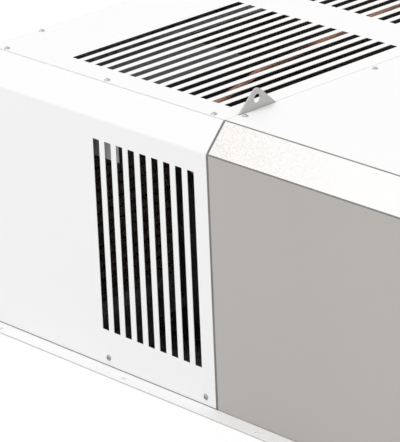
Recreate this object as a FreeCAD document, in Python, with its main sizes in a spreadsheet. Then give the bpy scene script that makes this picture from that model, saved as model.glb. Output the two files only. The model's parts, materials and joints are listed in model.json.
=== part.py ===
"""Roof-top monoblock refrigeration unit: a slotted condensing section and an insulated evaporator
section on one base flange, with the refrigeration circuit, the fans and the electrical gear inside.

Row frame, millimetres: +X runs along the unit from the condenser fans to the evaporator end, +Y
runs across it to the rear, +Z is up. The origin is on the roof plane, under the unit's middle.
"""
import FreeCAD, Part
import math
import os
import Sketcher

Vector = FreeCAD.Vector
Rotation = FreeCAD.Rotation

# Driving dimensions: alias, value in millimetres (counts and degrees where the name says so), meaning
SIZES = [
    ("condenser_length", 610, "white condensing section, along the unit"),
    ("evaporator_length", 1180, "grey evaporator section, along the unit"),
    ("body_width", 1116, "across the side panels"),
    ("body_height", 526, "roof plane to the top panels"),
    ("chamfer_in", 45, "long top chamfer, measured across"),
    ("chamfer_down", 50, "long top chamfer, measured down"),
    ("casing_sheet", 1.5, "casing panels"),
    ("panel_foot_gap", 0.6, "side panel's lower edge above the flange"),
    ("fit", 0.3, "gap between pieces that seat on each other"),
    ("seam", 1.0, "butt seams between panels"),
    ("flange_out", 32, "base flange beyond the body"),
    ("rail_thick", 2.5, "base rail angle"),
    ("rail_up", 42, "base rail's upright leg"),
    ("flange_hole", 8, "diameter of the flange holes"),
    ("flange_hole_out", 19, "flange holes beyond the body"),
    ("long_hole_pitch", 336, "flange holes along the unit"),
    ("long_hole_count", 6, "flange holes on each long side"),
    ("end_hole_pitch", 300, "flange holes across the unit"),
    ("end_hole_count", 4, "flange holes on each end"),
    ("slot_width", 16.5, "air slots"),
    ("slot_pitch", 30, "air slots, centre to centre"),
    ("side_slot_count", 9, "slots in each side panel"),
    ("side_slot_foot", 72.5, "lower end of the side slots above the roof"),
    ("side_slot_head", 39.5, "upper end of the side slots below the chamfer"),
    ("side_slot_margin", 42.6, "nearest side slot's centre to the bulkhead"),
    ("top_slot_count", 14, "slots in each top grille"),
    ("top_slot_margin", 46.8, "nearest top slot's centre to the bulkhead"),
    ("top_slot_edge", 51.5, "top slots' outer ends to the chamfer"),
    ("top_grille_web", 90.6, "plain strip between the two top grilles"),
    ("panel_turn_in", 24, "side panel's flange under the top panel"),
    ("partition_thick", 4, "bulkhead plate that carries the lugs"),
    ("partition_recess", 0.8, "bulkhead's edge behind the panels' faces"),
    ("partition_seam", 0.8, "gap between the bulkhead and the side panels"),
    ("lug_width", 87, "lifting lug at its foot"),
    ("lug_peak", 41.2, "lug's sides meet at this height before the rounding"),
    ("lug_round", 13, "lug's rounded top"),
    ("lug_hole", 16.5, "lug's hole, diameter"),
    ("lug_hole_up", 18, "lug's hole above the top panels"),
    ("lug_from_side", 121.5, "lug's middle to the side face"),
    ("lug_slot_clear", 1.0, "room round a lug in the top panels"),
    ("end_bar_down", 90, "depth of the far end's lifting bar"),
    ("pipe_pass", 64, "pipe pass through the bulkhead and the fan plate, diameter"),
    ("pipe_pass_rear", 48, "pipe pass behind the middle line"),
    ("pipe_pass_down", 86, "pipe pass below the top panels"),
    ("insulation", 40, "foam of walls, bulkhead, floor and cover"),
    ("seal_width", 3.4, "grey sealing bead between the evaporator panels"),
    ("seal_recess", 0.5, "bead behind the panel faces"),
    ("supply_margin", 55, "supply opening to the bulkhead"),
    ("return_margin", 55, "return opening to the far end"),
    ("duct_length", 270, "floor openings, along the unit"),
    ("duct_side_room", 158, "floor openings to the side faces"),
    ("floor_sheet", 2, "condenser floor pan"),
    ("floor_edge", 25, "floor pan's upturned edges"),
    ("screw_head", 12, "casing screws, head across its corners"),
    ("screw_high", 3, "casing screws, head height"),
    ("top_screw_in", 8.5, "top panel screws to the panel's edge"),
    ("top_screw_from_bulkhead", 34.7, "first top panel screw to the bulkhead"),
    ("top_screw_from_end", 35.3, "last top panel screw to the end panel's face"),
    ("end_row_span", 796, "between the outer screws of an end row"),
    ("cover_row_span", 956, "between the outer screws of a cover row"),
    ("cover_screw_in", 13.5, "cover screws to the seam"),
    ("side_screw_up", 18.6, "side panel screws above the roof"),
    ("side_screw_from_bulkhead", 27.4, "first side panel screw to the bulkhead"),
    ("side_screw_pitch", 252, "between the first two side panel screws"),
    ("side_screw_from_end", 22, "last side panel screw to the end panel's face"),
    ("condenser_fan_spread", 540, "between the condenser fans' axes"),
    ("condenser_fan_up", 250, "condenser fans' axes above the roof"),
    ("evaporator_fan_spread", 480, "between the evaporator fans' axes"),
    ("evaporator_fan_up", 262, "evaporator fans' axes above the roof"),
    ("fan_diameter", 350, "fan rotor over its blades"),
    ("fan_tip_gap", 8, "blade tips to the fan ring"),
    ("fan_ring_deep", 48, "fan ring's depth"),
    ("fan_sides", 36, "flat faces round a fan opening"),
    ("fan_hub", 130, "rotor hub, diameter"),
    ("fan_hub_long", 46, "rotor hub"),
    ("blade_count", 5, "blades on a rotor"),
    ("blade_thick", 3, "blade at mid chord"),
    ("blade_root_chord", 82, "blade width at the hub"),
    ("blade_tip_chord", 124, "blade width at the tip"),
    ("blade_root_pitch", 32, "blade angle at the hub, degrees"),
    ("blade_tip_pitch", 23, "blade angle at the tip, degrees"),
    ("blade_camber", 9, "blade's rise at mid chord"),
    ("motor_diameter", 104, "fan motor"),
    ("motor_long", 26, "fan motor"),
    ("rotor_gap", 2, "fan motor to the rotor's hub"),
    ("shaft_diameter", 12, "rotor's shaft"),
    ("shaft_clear", 0.05, "shaft or spindle in its bore, on the radius"),
    ("shaft_long", 22, "shaft inside the motor"),
    ("guard_stand", 12, "guard's plane in front of the panel"),
    ("guard_bar", 4, "guard's ring and arms, thickness"),
    ("guard_arm_wide", 9, "guard's arms"),
    ("guard_outer", 388, "guard's outer ring, diameter"),
    ("guard_hub", 96, "guard's centre plate, diameter"),
    ("guard_ring_wide", 5, "guard's ring, across"),
    ("coil_setback", 118, "condenser coil behind the end panel's face"),
    ("coil_depth", 32, "condenser coil's flat tubes"),
    ("coil_side_room", 64, "condenser core's ends to the side faces"),
    ("coil_foot", 26, "condenser core above the roof"),
    ("coil_head_room", 38, "condenser core below the top panels"),
    ("coil_tube_count", 20, "flat tubes of the condenser"),
    ("coil_tube_thick", 2.4, "flat tube"),
    ("coil_fin_depth", 28, "fin packs between the flat tubes"),
    ("coil_inlet_down", 56, "header's inlet stub below the top panels"),
    ("coil_outlet_up", 60, "header's outlet stub above the roof"),
    ("header_diameter", 38, "condenser header pipe"),
    ("header_flat", 5, "header's flat, cut back from its side"),
    ("header_over", 3, "header beyond the core, top and bottom"),
    ("channel_high", 20, "condenser's upper channel"),
    ("compressor_from_bulkhead", 185, "compressor's axis to the bulkhead"),
    ("compressor_from_side", 258, "compressor's axis to the front face"),
    ("compressor_diameter", 226, "compressor shell"),
    ("compressor_high", 285, "compressor shell"),
    ("compressor_round", 48, "shell's rounded ends"),
    ("weld_band", 5, "shell's weld band, proud"),
    ("weld_band_high", 12, "shell's weld band"),
    ("weld_band_up", 198, "weld band above the shell's bottom"),
    ("foot_plate_long", 290, "compressor's foot plate"),
    ("foot_plate_wide", 210, "compressor's foot plate"),
    ("foot_plate_thick", 5, "compressor's foot plate"),
    ("foot_pitch_long", 250, "between the compressor's feet"),
    ("foot_pitch_wide", 170, "between the compressor's feet"),
    ("grommet_diameter", 34, "rubber foot"),
    ("grommet_high", 20, "rubber foot"),
    ("foot_nut", 15, "compressor bolt heads, across the corners"),
    ("foot_nut_high", 7, "compressor bolt heads"),
    ("stub_diameter", 18, "compressor's discharge stub"),
    ("stub_long", 16, "compressor's pipe stubs"),
    ("discharge_stub_right", 30, "discharge stub to the compressor's axis"),
    ("discharge_stub_front", 72, "discharge stub in front of the compressor's axis"),
    ("suction_stub_off", 45, "suction stub behind and right of the compressor's axis"),
    ("terminal_long", 84, "compressor's terminal cover"),
    ("terminal_wide", 40, "compressor's terminal cover, out from the shell"),
    ("terminal_high", 92, "compressor's terminal cover"),
    ("vessel_sides", 24, "flat faces round the compressor, the receiver and the drier"),
    ("terminal_under_band", 4, "terminal cover below the weld band"),
    ("receiver_diameter", 110, "liquid receiver"),
    ("receiver_high", 300, "liquid receiver"),
    ("receiver_edge", 16, "receiver's dished ends"),
    ("receiver_from_bulkhead", 330, "receiver's axis to the bulkhead"),
    ("receiver_rear", 60, "receiver's axis behind the middle line"),
    ("receiver_foot_high", 14, "receiver's foot ring"),
    ("liquid_up", 60, "receiver's stubs, drier and sight glass above the roof"),
    ("pipe_stub", 18, "stubs of receiver and condenser headers"),
    ("pipe_stub_long", 8, "stubs of receiver and condenser headers"),
    ("drier_diameter", 54, "filter drier"),
    ("drier_long", 110, "filter drier's drum"),
    ("drier_neck", 20, "filter drier's tapered ends"),
    ("drier_gap", 12, "pipe between receiver and drier"),
    ("glass_gap", 15, "pipe between drier and sight glass"),
    ("glass_long", 28, "sight glass body"),
    ("glass_diameter", 30, "sight glass's hexagon, across the corners"),
    ("glass_eye", 24, "sight glass window"),
    ("glass_high", 20, "sight glass window above the line"),
    ("liquid_pipe", 12, "liquid line"),
    ("liquid_rise_gap", 28, "liquid line's riser to the bulkhead"),
    ("discharge_pipe", 14, "discharge line"),
    ("suction_pipe", 22, "suction line"),
    ("pipe_bend", 30, "bends of the discharge line and the coil's outlet"),
    ("bend_small", 24, "bends of the liquid line"),
    ("suction_bend", 30, "bends of the suction line"),
    ("riser_from_side", 108, "discharge riser to the front face"),
    ("riser_under_top", 60, "discharge line's crossing below the top panels"),
    ("discharge_beside_box", 14, "discharge line beside the electrical box"),
    ("line_spread", 25, "between the liquid and suction lines in their pass"),
    ("suction_turn", 110, "suction line's turn behind the fan plate"),
    ("valve_from_fans", 138, "expansion valve behind the fan plate"),
    ("collector_out", 38, "suction collector to the coil's end plate"),
    ("inlet_stub_long", 10, "coil's inlet stubs"),
    ("capillary", 5, "distributor's capillaries"),
    ("valve_down", 100, "expansion valve's inlet below the pass"),
    ("valve_high", 60, "expansion valve"),
    ("valve_body", 26, "expansion valve, diameter"),
    ("valve_neck", 14, "power head's neck"),
    ("valve_reach", 24, "power head beside the valve"),
    ("valve_head", 44, "power head, diameter"),
    ("valve_head_thick", 10, "power head"),
    ("distributor_long", 18, "distributor below the valve"),
    ("sensing_pipe", 4, "pressure switch's sensing pipe"),
    ("grommet_lip", 3, "pipe grommet in front of the bulkhead"),
    ("box_behind_coil", 25, "electrical box behind the condenser coil"),
    ("box_deep", 320, "electrical box across the unit"),
    ("box_high", 111, "electrical box"),
    ("box_sheet", 1.2, "electrical box"),
    ("box_from_side", 28, "electrical box behind the side panel"),
    ("box_under_top", 24.5, "electrical box under the top panel"),
    ("box_from_bulkhead", 257, "electrical box to the bulkhead"),
    ("post_wide", 30, "electrical box's posts"),
    ("post_deep", 25, "electrical box's posts"),
    ("post_wall", 2, "electrical box's posts"),
    ("lid_lip", 10, "electrical box lid's turned edge"),
    ("relay_wide", 45, "contactor"),
    ("relay_high", 75, "contactor"),
    ("relay_deep", 80, "contactor"),
    ("relay_gap", 8, "between contactors"),
    ("relay_count", 4, "contactors on the rail"),
    ("mount_rail_wide", 35, "mounting rail"),
    ("mount_rail_deep", 7, "mounting rail"),
    ("rail_end_room", 20, "mounting rail's ends to the box"),
    ("switch_up", 250, "main switch above the roof"),
    ("switch_plate", 64, "main switch's front plate"),
    ("switch_plate_thick", 5, "main switch's front plate"),
    ("switch_body", 46, "main switch's body behind the panel"),
    ("switch_body_deep", 48, "main switch's body behind the panel"),
    ("switch_neck", 20, "main switch's neck through the panel"),
    ("spindle", 8, "main switch's spindle"),
    ("spindle_long", 15, "spindle inside the switch"),
    ("knob_diameter", 44, "main switch's knob"),
    ("knob_deep", 7, "knob's disc"),
    ("knob_grip_high", 11, "knob's grip"),
    ("knob_grip_wide", 11, "knob's grip"),
    ("knob_grip_long", 41, "knob's grip"),
    ("gland_up", 110, "cable glands above the roof"),
    ("gland_spread", 60, "between the cable glands"),
    ("gland_across", 28, "gland's hexagon, across the corners"),
    ("gland_collar", 9, "gland's hexagon"),
    ("gland_cap", 24, "gland's cap, diameter"),
    ("gland_cap_deep", 10, "gland's cap"),
    ("gland_thread", 20, "gland's thread through the panel"),
    ("gland_bore", 12, "gland's bore for the cable"),
    ("gland_inside", 6, "gland's locknut behind the panel"),
    ("fan_plate_from_bulkhead", 378, "evaporator fan plate to the bulkhead"),
    ("fan_plate_sheet", 2, "evaporator fan plate"),
    ("cooler_from_bulkhead", 560, "evaporator coil to the bulkhead"),
    ("cooler_rows", 3, "tube columns through the evaporator coil's depth"),
    ("cooler_row_pitch", 33, "between the tube columns"),
    ("cooler_tube_count", 8, "tubes in a column"),
    ("cooler_tube", 12, "evaporator tube"),
    ("cooler_side_room", 73.4, "fin pack's ends to the foam walls"),
    ("cooler_head_room", 27.4, "fin pack below the foam cover"),
    ("cooler_foot", 78, "fin pack above the roof"),
    ("cooler_end_sheet", 2, "evaporator coil's end plates"),
    ("cooler_end_over", 12, "end plates beyond the fin pack"),
    ("pipe_sides", 8, "flat faces round a small pipe"),
    ("pipe_turn", 30, "turn of a pipe between its rings, degrees"),
    ("drip_pan_long", 210, "drain pan along the unit"),
    ("drip_pan_side_room", 33.4, "drain pan's ends to the foam walls"),
    ("drip_pan_high", 28, "drain pan"),
    ("drip_pan_sheet", 1.5, "drain pan"),
    ("drip_pan_over", 20, "drain pan's middle right of the coil's middle"),
    ("drain_pipe", 22, "drain spigot, outside"),
    ("drain_bore", 17, "drain spigot, inside"),
    ("drain_above_pan", 15.5, "drain spigot's axis above the pan's bottom"),
    ("drain_out", 24, "drain spigot beyond the rear panel"),
    ("heater_diameter", 9, "defrost heater rods"),
    ("heater_count", 3, "defrost heater rods"),
    ("switch_box_wide", 40, "pressure switch"),
    ("switch_box_high", 62, "pressure switch"),
    ("switch_box_deep", 46, "pressure switch"),
    ("switch_box_up", 330, "pressure switch above the roof"),
    ("switch_box_front", 50, "pressure switch in front of the middle line"),
    ("reset_diameter", 9, "pressure switch's reset button"),
    ("reset_out", 6, "reset button's free height"),
    ("reset_travel", 3, "reset button's travel"),
    ("reset_rest", 1, "reset button's end to its well when pressed"),
    ("reset_well", 12, "reset button's well"),
    ("reset_clear", 0.08, "reset button in its well, on the radius"),
    ("reset_below_top", 16, "reset button below the switch's top"),
]

DOCUMENT = FreeCAD.newDocument("monoblock_unit")
SHEET = DOCUMENT.addObject("Spreadsheet::Sheet", "Sizes")
NODES = []


class Size:
    """A length: its formula on the sheet's aliases, and its number now."""

    def __init__(self, formula, number):
        self.formula = formula
        self.number = number

    def __float__(self):
        return float(self.number)

    def joined(self, other, sign, number, swap=False):
        mine, theirs = self.formula, formula_of(other)
        if swap:
            mine, theirs = theirs, mine
        return Size(f"({mine} {sign} {theirs})", number)

    def __add__(self, other):
        return self.joined(other, "+", float(self) + float(other))

    def __radd__(self, other):
        return self.joined(other, "+", float(self) + float(other), swap=True)

    def __sub__(self, other):
        return self.joined(other, "-", float(self) - float(other))

    def __rsub__(self, other):
        return self.joined(other, "-", float(other) - float(self), swap=True)

    def __mul__(self, other):
        return self.joined(other, "*", float(self) * float(other))

    def __rmul__(self, other):
        return self.joined(other, "*", float(self) * float(other), swap=True)

    def __truediv__(self, other):
        return self.joined(other, "/", float(self) / float(other))

    def __neg__(self):
        return Size(f"(0 - {self.formula})", -float(self))


def formula_of(value):
    return value.formula if isinstance(value, Size) else repr(float(value))


def root_of(value):
    return Size(f"sqrt({value.formula})", math.sqrt(float(value)))


class Sheet:
    """The driving dimensions by name."""


def fill_sheet():
    sizes = Sheet()
    for row, (alias, value, meaning) in enumerate(SIZES, start=1):
        SHEET.set(f"A{row}", meaning)
        SHEET.set(f"B{row}", str(value))
        SHEET.setAlias(f"B{row}", alias)
    DOCUMENT.recompute()
    for alias, _, _ in SIZES:
        setattr(sizes, alias, Size(f"Sizes.{alias}", float(SHEET.get(alias))))
    return sizes


S = fill_sheet()

FRONT = -1
REAR = 1
LEFT = -1
RIGHT = 1
TINY = 0.01

# Places worked out from the driving dimensions
HALF_WIDTH = S.body_width / 2
RIGHT_FACE = (S.condenser_length + S.evaporator_length) / 2
LEFT_FACE = -RIGHT_FACE
BULKHEAD = LEFT_FACE + S.condenser_length
TOP = S.body_height
UNDER_TOP = S.body_height - S.casing_sheet
PANEL_FOOT = S.rail_thick + S.panel_foot_gap
CHAMFER_LONG = root_of(S.chamfer_in * S.chamfer_in + S.chamfer_down * S.chamfer_down)
RAIL_INSIDE = HALF_WIDTH - S.casing_sheet - S.rail_thick
BULKHEAD_LEFT = BULKHEAD - S.partition_thick / 2
BULKHEAD_RIGHT = BULKHEAD + S.partition_thick / 2
PANEL_START = LEFT_FACE + S.casing_sheet + S.seam / 2
PANEL_END = RIGHT_FACE - S.casing_sheet - S.seam / 2
GREY_START = BULKHEAD_RIGHT + S.partition_seam
FOAM_OUT = S.casing_sheet + S.rail_thick + S.fit
FOAM_IN = FOAM_OUT + S.insulation
FOAM_START = BULKHEAD_RIGHT + S.fit
FOAM_END = RIGHT_FACE - S.casing_sheet - S.partition_thick - S.fit
FLOOR_TOP = S.insulation + S.fit
CAVITY_HALF = HALF_WIDTH - FOAM_IN - S.fit
CAVITY_TOP = TOP - FOAM_IN - S.fit
LUG_MIDDLE = HALF_WIDTH - S.lug_from_side
PASS_Y = S.pipe_pass_rear
PASS_Z = TOP - S.pipe_pass_down

# Condensing section
FAN_OPENING = S.fan_diameter / 2 + S.fan_tip_gap
COIL_FACE = LEFT_FACE + S.coil_setback
COIL_HALF = HALF_WIDTH - S.coil_side_room
COIL_HIGH = TOP - S.coil_head_room - S.coil_foot
COIL_PITCH = COIL_HIGH / (S.coil_tube_count + 1)
COIL_INLET = TOP - S.coil_inlet_down
HEADER_X = COIL_FACE + S.coil_depth / 2
HEADER_Y = COIL_HALF + S.header_diameter / 2 - S.header_flat
STUB_END_X = HEADER_X + S.header_diameter / 2 + S.pipe_stub_long
COMPRESSOR_X = BULKHEAD - S.compressor_from_bulkhead
COMPRESSOR_Y = S.compressor_from_side - HALF_WIDTH
DISCHARGE_Y = COMPRESSOR_Y - S.discharge_stub_front
SHELL_FOOT = S.floor_sheet + S.grommet_high + S.foot_plate_thick
STUB_TOP = SHELL_FOOT + S.compressor_high + S.stub_long
RECEIVER_X = BULKHEAD - S.receiver_from_bulkhead
RECEIVER_Y = S.receiver_rear
RECEIVER_FOOT = S.floor_sheet + S.receiver_foot_high
DRIER_X = RECEIVER_X + S.receiver_diameter / 2 + S.pipe_stub_long + S.drier_gap + S.drier_neck
GLASS_X = DRIER_X + S.drier_long + S.drier_neck + S.glass_gap
BOX_TOP = UNDER_TOP - S.box_under_top
BOX_FOOT = BOX_TOP - S.box_high
BOX_RIGHT = BULKHEAD - S.box_from_bulkhead
BOX_LEFT = COIL_FACE + S.coil_depth + S.box_behind_coil
BOX_NEAR = S.casing_sheet + S.box_from_side - HALF_WIDTH
BOX_FAR = BOX_NEAR + S.box_deep
SWITCH_FACE = BULKHEAD_LEFT - S.switch_box_deep
SWITCH_Y = -S.switch_box_front
RESET_Z = S.switch_box_up + S.switch_box_high - S.reset_below_top
SUCTION_Y = PASS_Y + S.line_spread / 2
LIQUID_Y = PASS_Y - S.line_spread / 2

# Evaporator section
FAN_PLATE = BULKHEAD + S.fan_plate_from_bulkhead
SUPPLY_START = BULKHEAD_RIGHT + S.supply_margin
RETURN_END = RIGHT_FACE - S.return_margin
COOLER_X = BULKHEAD + S.cooler_from_bulkhead
COOLER_DEEP = S.cooler_row_pitch * S.cooler_rows
COOLER_HALF = CAVITY_HALF - S.cooler_side_room
COOLER_HIGH = CAVITY_TOP - S.cooler_head_room - S.cooler_foot
COOLER_PITCH = COOLER_HIGH / S.cooler_tube_count
END_PLATE_Y = COOLER_HALF + S.cooler_end_sheet
COLLECTOR_Y = END_PLATE_Y + S.collector_out
SUCTION_X = FAN_PLATE + S.suction_turn
VALVE_X = FAN_PLATE + S.valve_from_fans
VALVE_Y = END_PLATE_Y + S.inlet_stub_long / 2
VALVE_TOP = PASS_Z - S.valve_down
VALVE_FOOT = VALVE_TOP - S.valve_high
PAN_HALF = CAVITY_HALF - S.drip_pan_side_room
DRAIN_X = COOLER_X + COOLER_DEEP / 2 + S.drip_pan_over
DRAIN_Z = S.insulation + S.drain_above_pan


def count_of(size):
    return int(round(float(size)))


def tube_x(column):
    """Middle of a tube column through the evaporator coil's depth."""
    return COOLER_X + S.cooler_row_pitch * (column + 0.5)


def tube_z(row):
    return S.cooler_foot + COOLER_PITCH * (row + 0.5)


def corner_low(inset):
    """Where a wall, this far inside the outer face, turns into the chamfer: half width and height."""
    return HALF_WIDTH - inset, TOP - S.chamfer_down - inset * (CHAMFER_LONG - S.chamfer_down) / S.chamfer_in


def corner_high(inset):
    """Where the chamfer, this far inside the outer face, turns into the top."""
    drift = inset * (CHAMFER_LONG - S.chamfer_in) / S.chamfer_down
    return HALF_WIDTH - S.chamfer_in - drift, TOP - inset


def chamfer_at(inset, height):
    """The half width of the chamfer, this far inside the outer face, at a height."""
    climb = (height - (TOP - S.chamfer_down)) * S.chamfer_in / S.chamfer_down
    return HALF_WIDTH - climb - inset * CHAMFER_LONG / S.chamfer_down


def up_chamfer(inset, share):
    """A point this far inside the outer face and this far up the chamfer from its low corner."""
    low = corner_low(inset)
    return (
        low[0] - share * S.chamfer_in / CHAMFER_LONG,
        low[1] + share * S.chamfer_down / CHAMFER_LONG,
    )


def down_chamfer(inset, share):
    """A point this far inside the outer face and this far down the chamfer from its high corner."""
    high = corner_high(inset)
    return (
        high[0] + share * S.chamfer_in / CHAMFER_LONG,
        high[1] - share * S.chamfer_down / CHAMFER_LONG,
    )


def bind(item, setting, value):
    item.setExpression(setting, formula_of(value))


def place(item, x, y, z, rotation=None):
    """Set a feature's placement, its place following the sheet."""
    item.Placement = FreeCAD.Placement(
        Vector(float(x), float(y), float(z)), rotation or Rotation()
    )
    bind(item, "Placement.Base.x", x)
    bind(item, "Placement.Base.y", y)
    bind(item, "Placement.Base.z", z)
    return item


def node(item, name):
    """Name a finished sub-part; the label is also its file's name."""
    item.Label = name
    NODES.append(item)
    return item


def new_body(name):
    return DOCUMENT.addObject("PartDesign::Body", f"{name}_body")


def origin_plane(body, role):
    return next(item for item in body.Origin.OriginFeatures if item.Role == role)


def new_sketch(body, plane, offset=None):
    sketch = body.newObject("Sketcher::SketchObject", f"{body.Name}_sketch")
    sketch.AttachmentSupport = [(origin_plane(body, plane), "")]
    sketch.MapMode = "FlatFace"
    if offset is not None:
        bind(sketch, "AttachmentOffset.Base.z", offset)
    return sketch


def pin_point(sketch, line, end, horizontal, vertical):
    """Hold a sketch point at its distances from the sketch's origin, bound to the sheet."""
    for kind, value in (("DistanceX", horizontal), ("DistanceY", vertical)):
        number = sketch.addConstraint(
            Sketcher.Constraint(kind, -1, 1, line, end, float(value))
        )
        bind(sketch, f"Constraints[{number}]", value)


def add_outline(sketch, points):
    first = sketch.GeometryCount
    count = len(points)
    corners = [Vector(float(across), float(up), 0) for across, up in points]
    for index in range(count):
        sketch.addGeometry(Part.LineSegment(corners[index], corners[(index + 1) % count]))
    for index in range(count):
        following = first + (index + 1) % count
        sketch.addConstraint(
            Sketcher.Constraint("Coincident", first + index, 2, following, 1)
        )
    for index, (across, up) in enumerate(points):
        pin_point(sketch, first + index, 1, across, up)


def add_rectangle(sketch, left, low, right, high):
    add_outline(sketch, [(left, low), (right, low), (right, high), (left, high)])


def add_circle(sketch, across, up, radius):
    circle = sketch.addGeometry(
        Part.Circle(Vector(float(across), float(up), 0), Vector(0, 0, 1), float(radius))
    )
    number = sketch.addConstraint(Sketcher.Constraint("Radius", circle, float(radius)))
    bind(sketch, f"Constraints[{number}]", radius)
    pin_point(sketch, circle, 3, across, up)


def add_pad(body, sketch, length, both_ways=False, backwards=False):
    pad = body.newObject("PartDesign::Pad", f"{body.Name}_pad")
    pad.Profile = sketch
    bind(pad, "Length", length)
    pad.SideType = "Symmetric" if both_ways else "One side"
    pad.Reversed = backwards
    return pad


def cut_through(body, sketch):
    """Cut a sketch right through its body, both ways from the sketch's plane."""
    pocket = body.newObject("PartDesign::Pocket", f"{body.Name}_cut")
    pocket.Profile = sketch
    pocket.Type = "ThroughAll"
    pocket.SideType = "Symmetric"
    return pocket


def cut_down(body, sketch, depth, backwards=False):
    pocket = body.newObject("PartDesign::Pocket", f"{body.Name}_hollow")
    pocket.Profile = sketch
    bind(pocket, "Length", depth)
    pocket.Reversed = backwards
    return pocket


def repeat(body, feature, sketch, axis, pitch, count, backwards=False):
    """Repeat a cut or a pad in a row along a sketch axis."""
    row = body.newObject("PartDesign::LinearPattern", f"{body.Name}_row")
    row.Originals = [feature]
    row.Direction = (sketch, [axis])
    row.Mode = "Spacing"
    row.Reversed = backwards
    bind(row, "Offset", pitch)
    bind(row, "Occurrences", count)
    body.Tip = row
    return row


def plate_across(name, outline, start, thickness):
    """A plate or a folded panel whose section lies in the YZ plane and runs along X."""
    body = new_body(name)
    sketch = new_sketch(body, "YZ_Plane", start)
    add_outline(sketch, outline)
    add_pad(body, sketch, thickness)
    return body


def box(x, y, z, long, wide, high):
    block = DOCUMENT.addObject("Part::Box", "block")
    bind(block, "Length", long)
    bind(block, "Width", wide)
    bind(block, "Height", high)
    return place(block, x, y, z)


ALONG_X = Rotation(Vector(0, 1, 0), 90)
AGAINST_X = Rotation(Vector(0, 1, 0), -90)
ALONG_Y = Rotation(Vector(1, 0, 0), -90)
AGAINST_Y = Rotation(Vector(1, 0, 0), 90)


def rod(x, y, z, diameter, long, rotation=None):
    cylinder = DOCUMENT.addObject("Part::Cylinder", "rod")
    bind(cylinder, "Radius", diameter / 2)
    bind(cylinder, "Height", long)
    return place(cylinder, x, y, z, rotation)


def prism(x, y, z, across_corners, long, sides, rotation=None):
    """A regular prism, its axis along Z before it is turned."""
    piece = DOCUMENT.addObject("Part::Prism", "prism")
    bind(piece, "Polygon", sides)
    bind(piece, "Circumradius", across_corners / 2)
    bind(piece, "Height", long)
    return place(piece, x, y, z, rotation)


def fused(*pieces):
    joined = DOCUMENT.addObject("Part::MultiFuse", "joined")
    joined.Shapes = list(pieces)
    joined.Refine = True
    return joined


def without(base, *tools):
    cut = DOCUMENT.addObject("Part::Cut", "cut")
    cut.Base = base
    cut.Tool = tools[0] if len(tools) == 1 else fused(*tools)
    return cut


def group(pieces):
    """Separate solids of one node."""
    together = DOCUMENT.addObject("Part::Compound", "group")
    together.Links = list(pieces)
    return together


def shaped(shape):
    """A feature whose shape is worked out here from the sheet's sizes."""
    feature = DOCUMENT.addObject("Part::Feature", "shaped")
    feature.Shape = shape
    return feature


def mirrored_outline(points):
    """Close a half outline, given on the rear side, with its mirror image on the front side."""
    return points + [(-across, up) for across, up in reversed(points)]


def on_side(side, points):
    """Move a section given for the rear side to the side asked for."""
    return [(across * side, up) for across, up in points]


# Base frame


def long_rail(name, side):
    body = new_body(name)
    start = LEFT_FACE - S.flange_out
    flange = new_sketch(body, "XY_Plane")
    edges = sorted([side * (HALF_WIDTH + S.flange_out), side * RAIL_INSIDE], key=float)
    add_rectangle(flange, start, edges[0], -start, edges[1])
    add_pad(body, flange, S.rail_thick)
    upright = new_sketch(body, "XY_Plane")
    faces = sorted([side * (HALF_WIDTH - S.casing_sheet), side * RAIL_INSIDE], key=float)
    inner_start = LEFT_FACE + S.casing_sheet
    add_rectangle(upright, inner_start, faces[0], -inner_start, faces[1])
    add_pad(body, upright, S.rail_up)
    holes = new_sketch(body, "XY_Plane")
    first = -(S.long_hole_pitch * (S.long_hole_count - 1) / 2)
    add_circle(holes, first, side * (HALF_WIDTH + S.flange_hole_out), S.flange_hole / 2)
    hole = cut_through(body, holes)
    repeat(body, hole, holes, "H_Axis", S.long_hole_pitch, S.long_hole_count)
    return node(body, name)


def end_rail(name, side):
    body = new_body(name)
    face = RIGHT_FACE * side
    inner = (RIGHT_FACE - S.casing_sheet - S.rail_thick) * side
    reach = RAIL_INSIDE - S.fit
    flange = new_sketch(body, "XY_Plane")
    edges = sorted([face + side * S.flange_out, inner], key=float)
    add_rectangle(flange, edges[0], -reach, edges[1], reach)
    add_pad(body, flange, S.rail_thick)
    upright = new_sketch(body, "XY_Plane")
    faces = sorted([face - side * S.casing_sheet, inner], key=float)
    add_rectangle(upright, faces[0], -reach, faces[1], reach)
    add_pad(body, upright, S.rail_up)
    holes = new_sketch(body, "XY_Plane")
    first = -(S.end_hole_pitch * (S.end_hole_count - 1) / 2)
    add_circle(holes, face + side * S.flange_hole_out, first, S.flange_hole / 2)
    hole = cut_through(body, holes)
    repeat(body, hole, holes, "V_Axis", S.end_hole_pitch, S.end_hole_count)
    return node(body, name)


def tray(name, left, right, near, far, foot, high, wall):
    """A sheet pan with four upturned edges."""
    body = new_body(name)
    outside = new_sketch(body, "XY_Plane", foot)
    add_rectangle(outside, left, near, right, far)
    add_pad(body, outside, high)
    inside = new_sketch(body, "XY_Plane", high + foot)
    add_rectangle(inside, left + wall, near + wall, right - wall, far - wall)
    cut_down(body, inside, high - wall)
    return body


def condenser_floor_pan():
    left = LEFT_FACE + S.casing_sheet + S.rail_thick + S.fit
    right = BULKHEAD_LEFT - S.fit
    half = RAIL_INSIDE - S.fit
    pan = tray(
        "condenser_floor_pan", left, right, -half, half, 0, S.floor_edge, S.floor_sheet,
    )
    return node(pan, "condenser_floor_pan")


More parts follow.
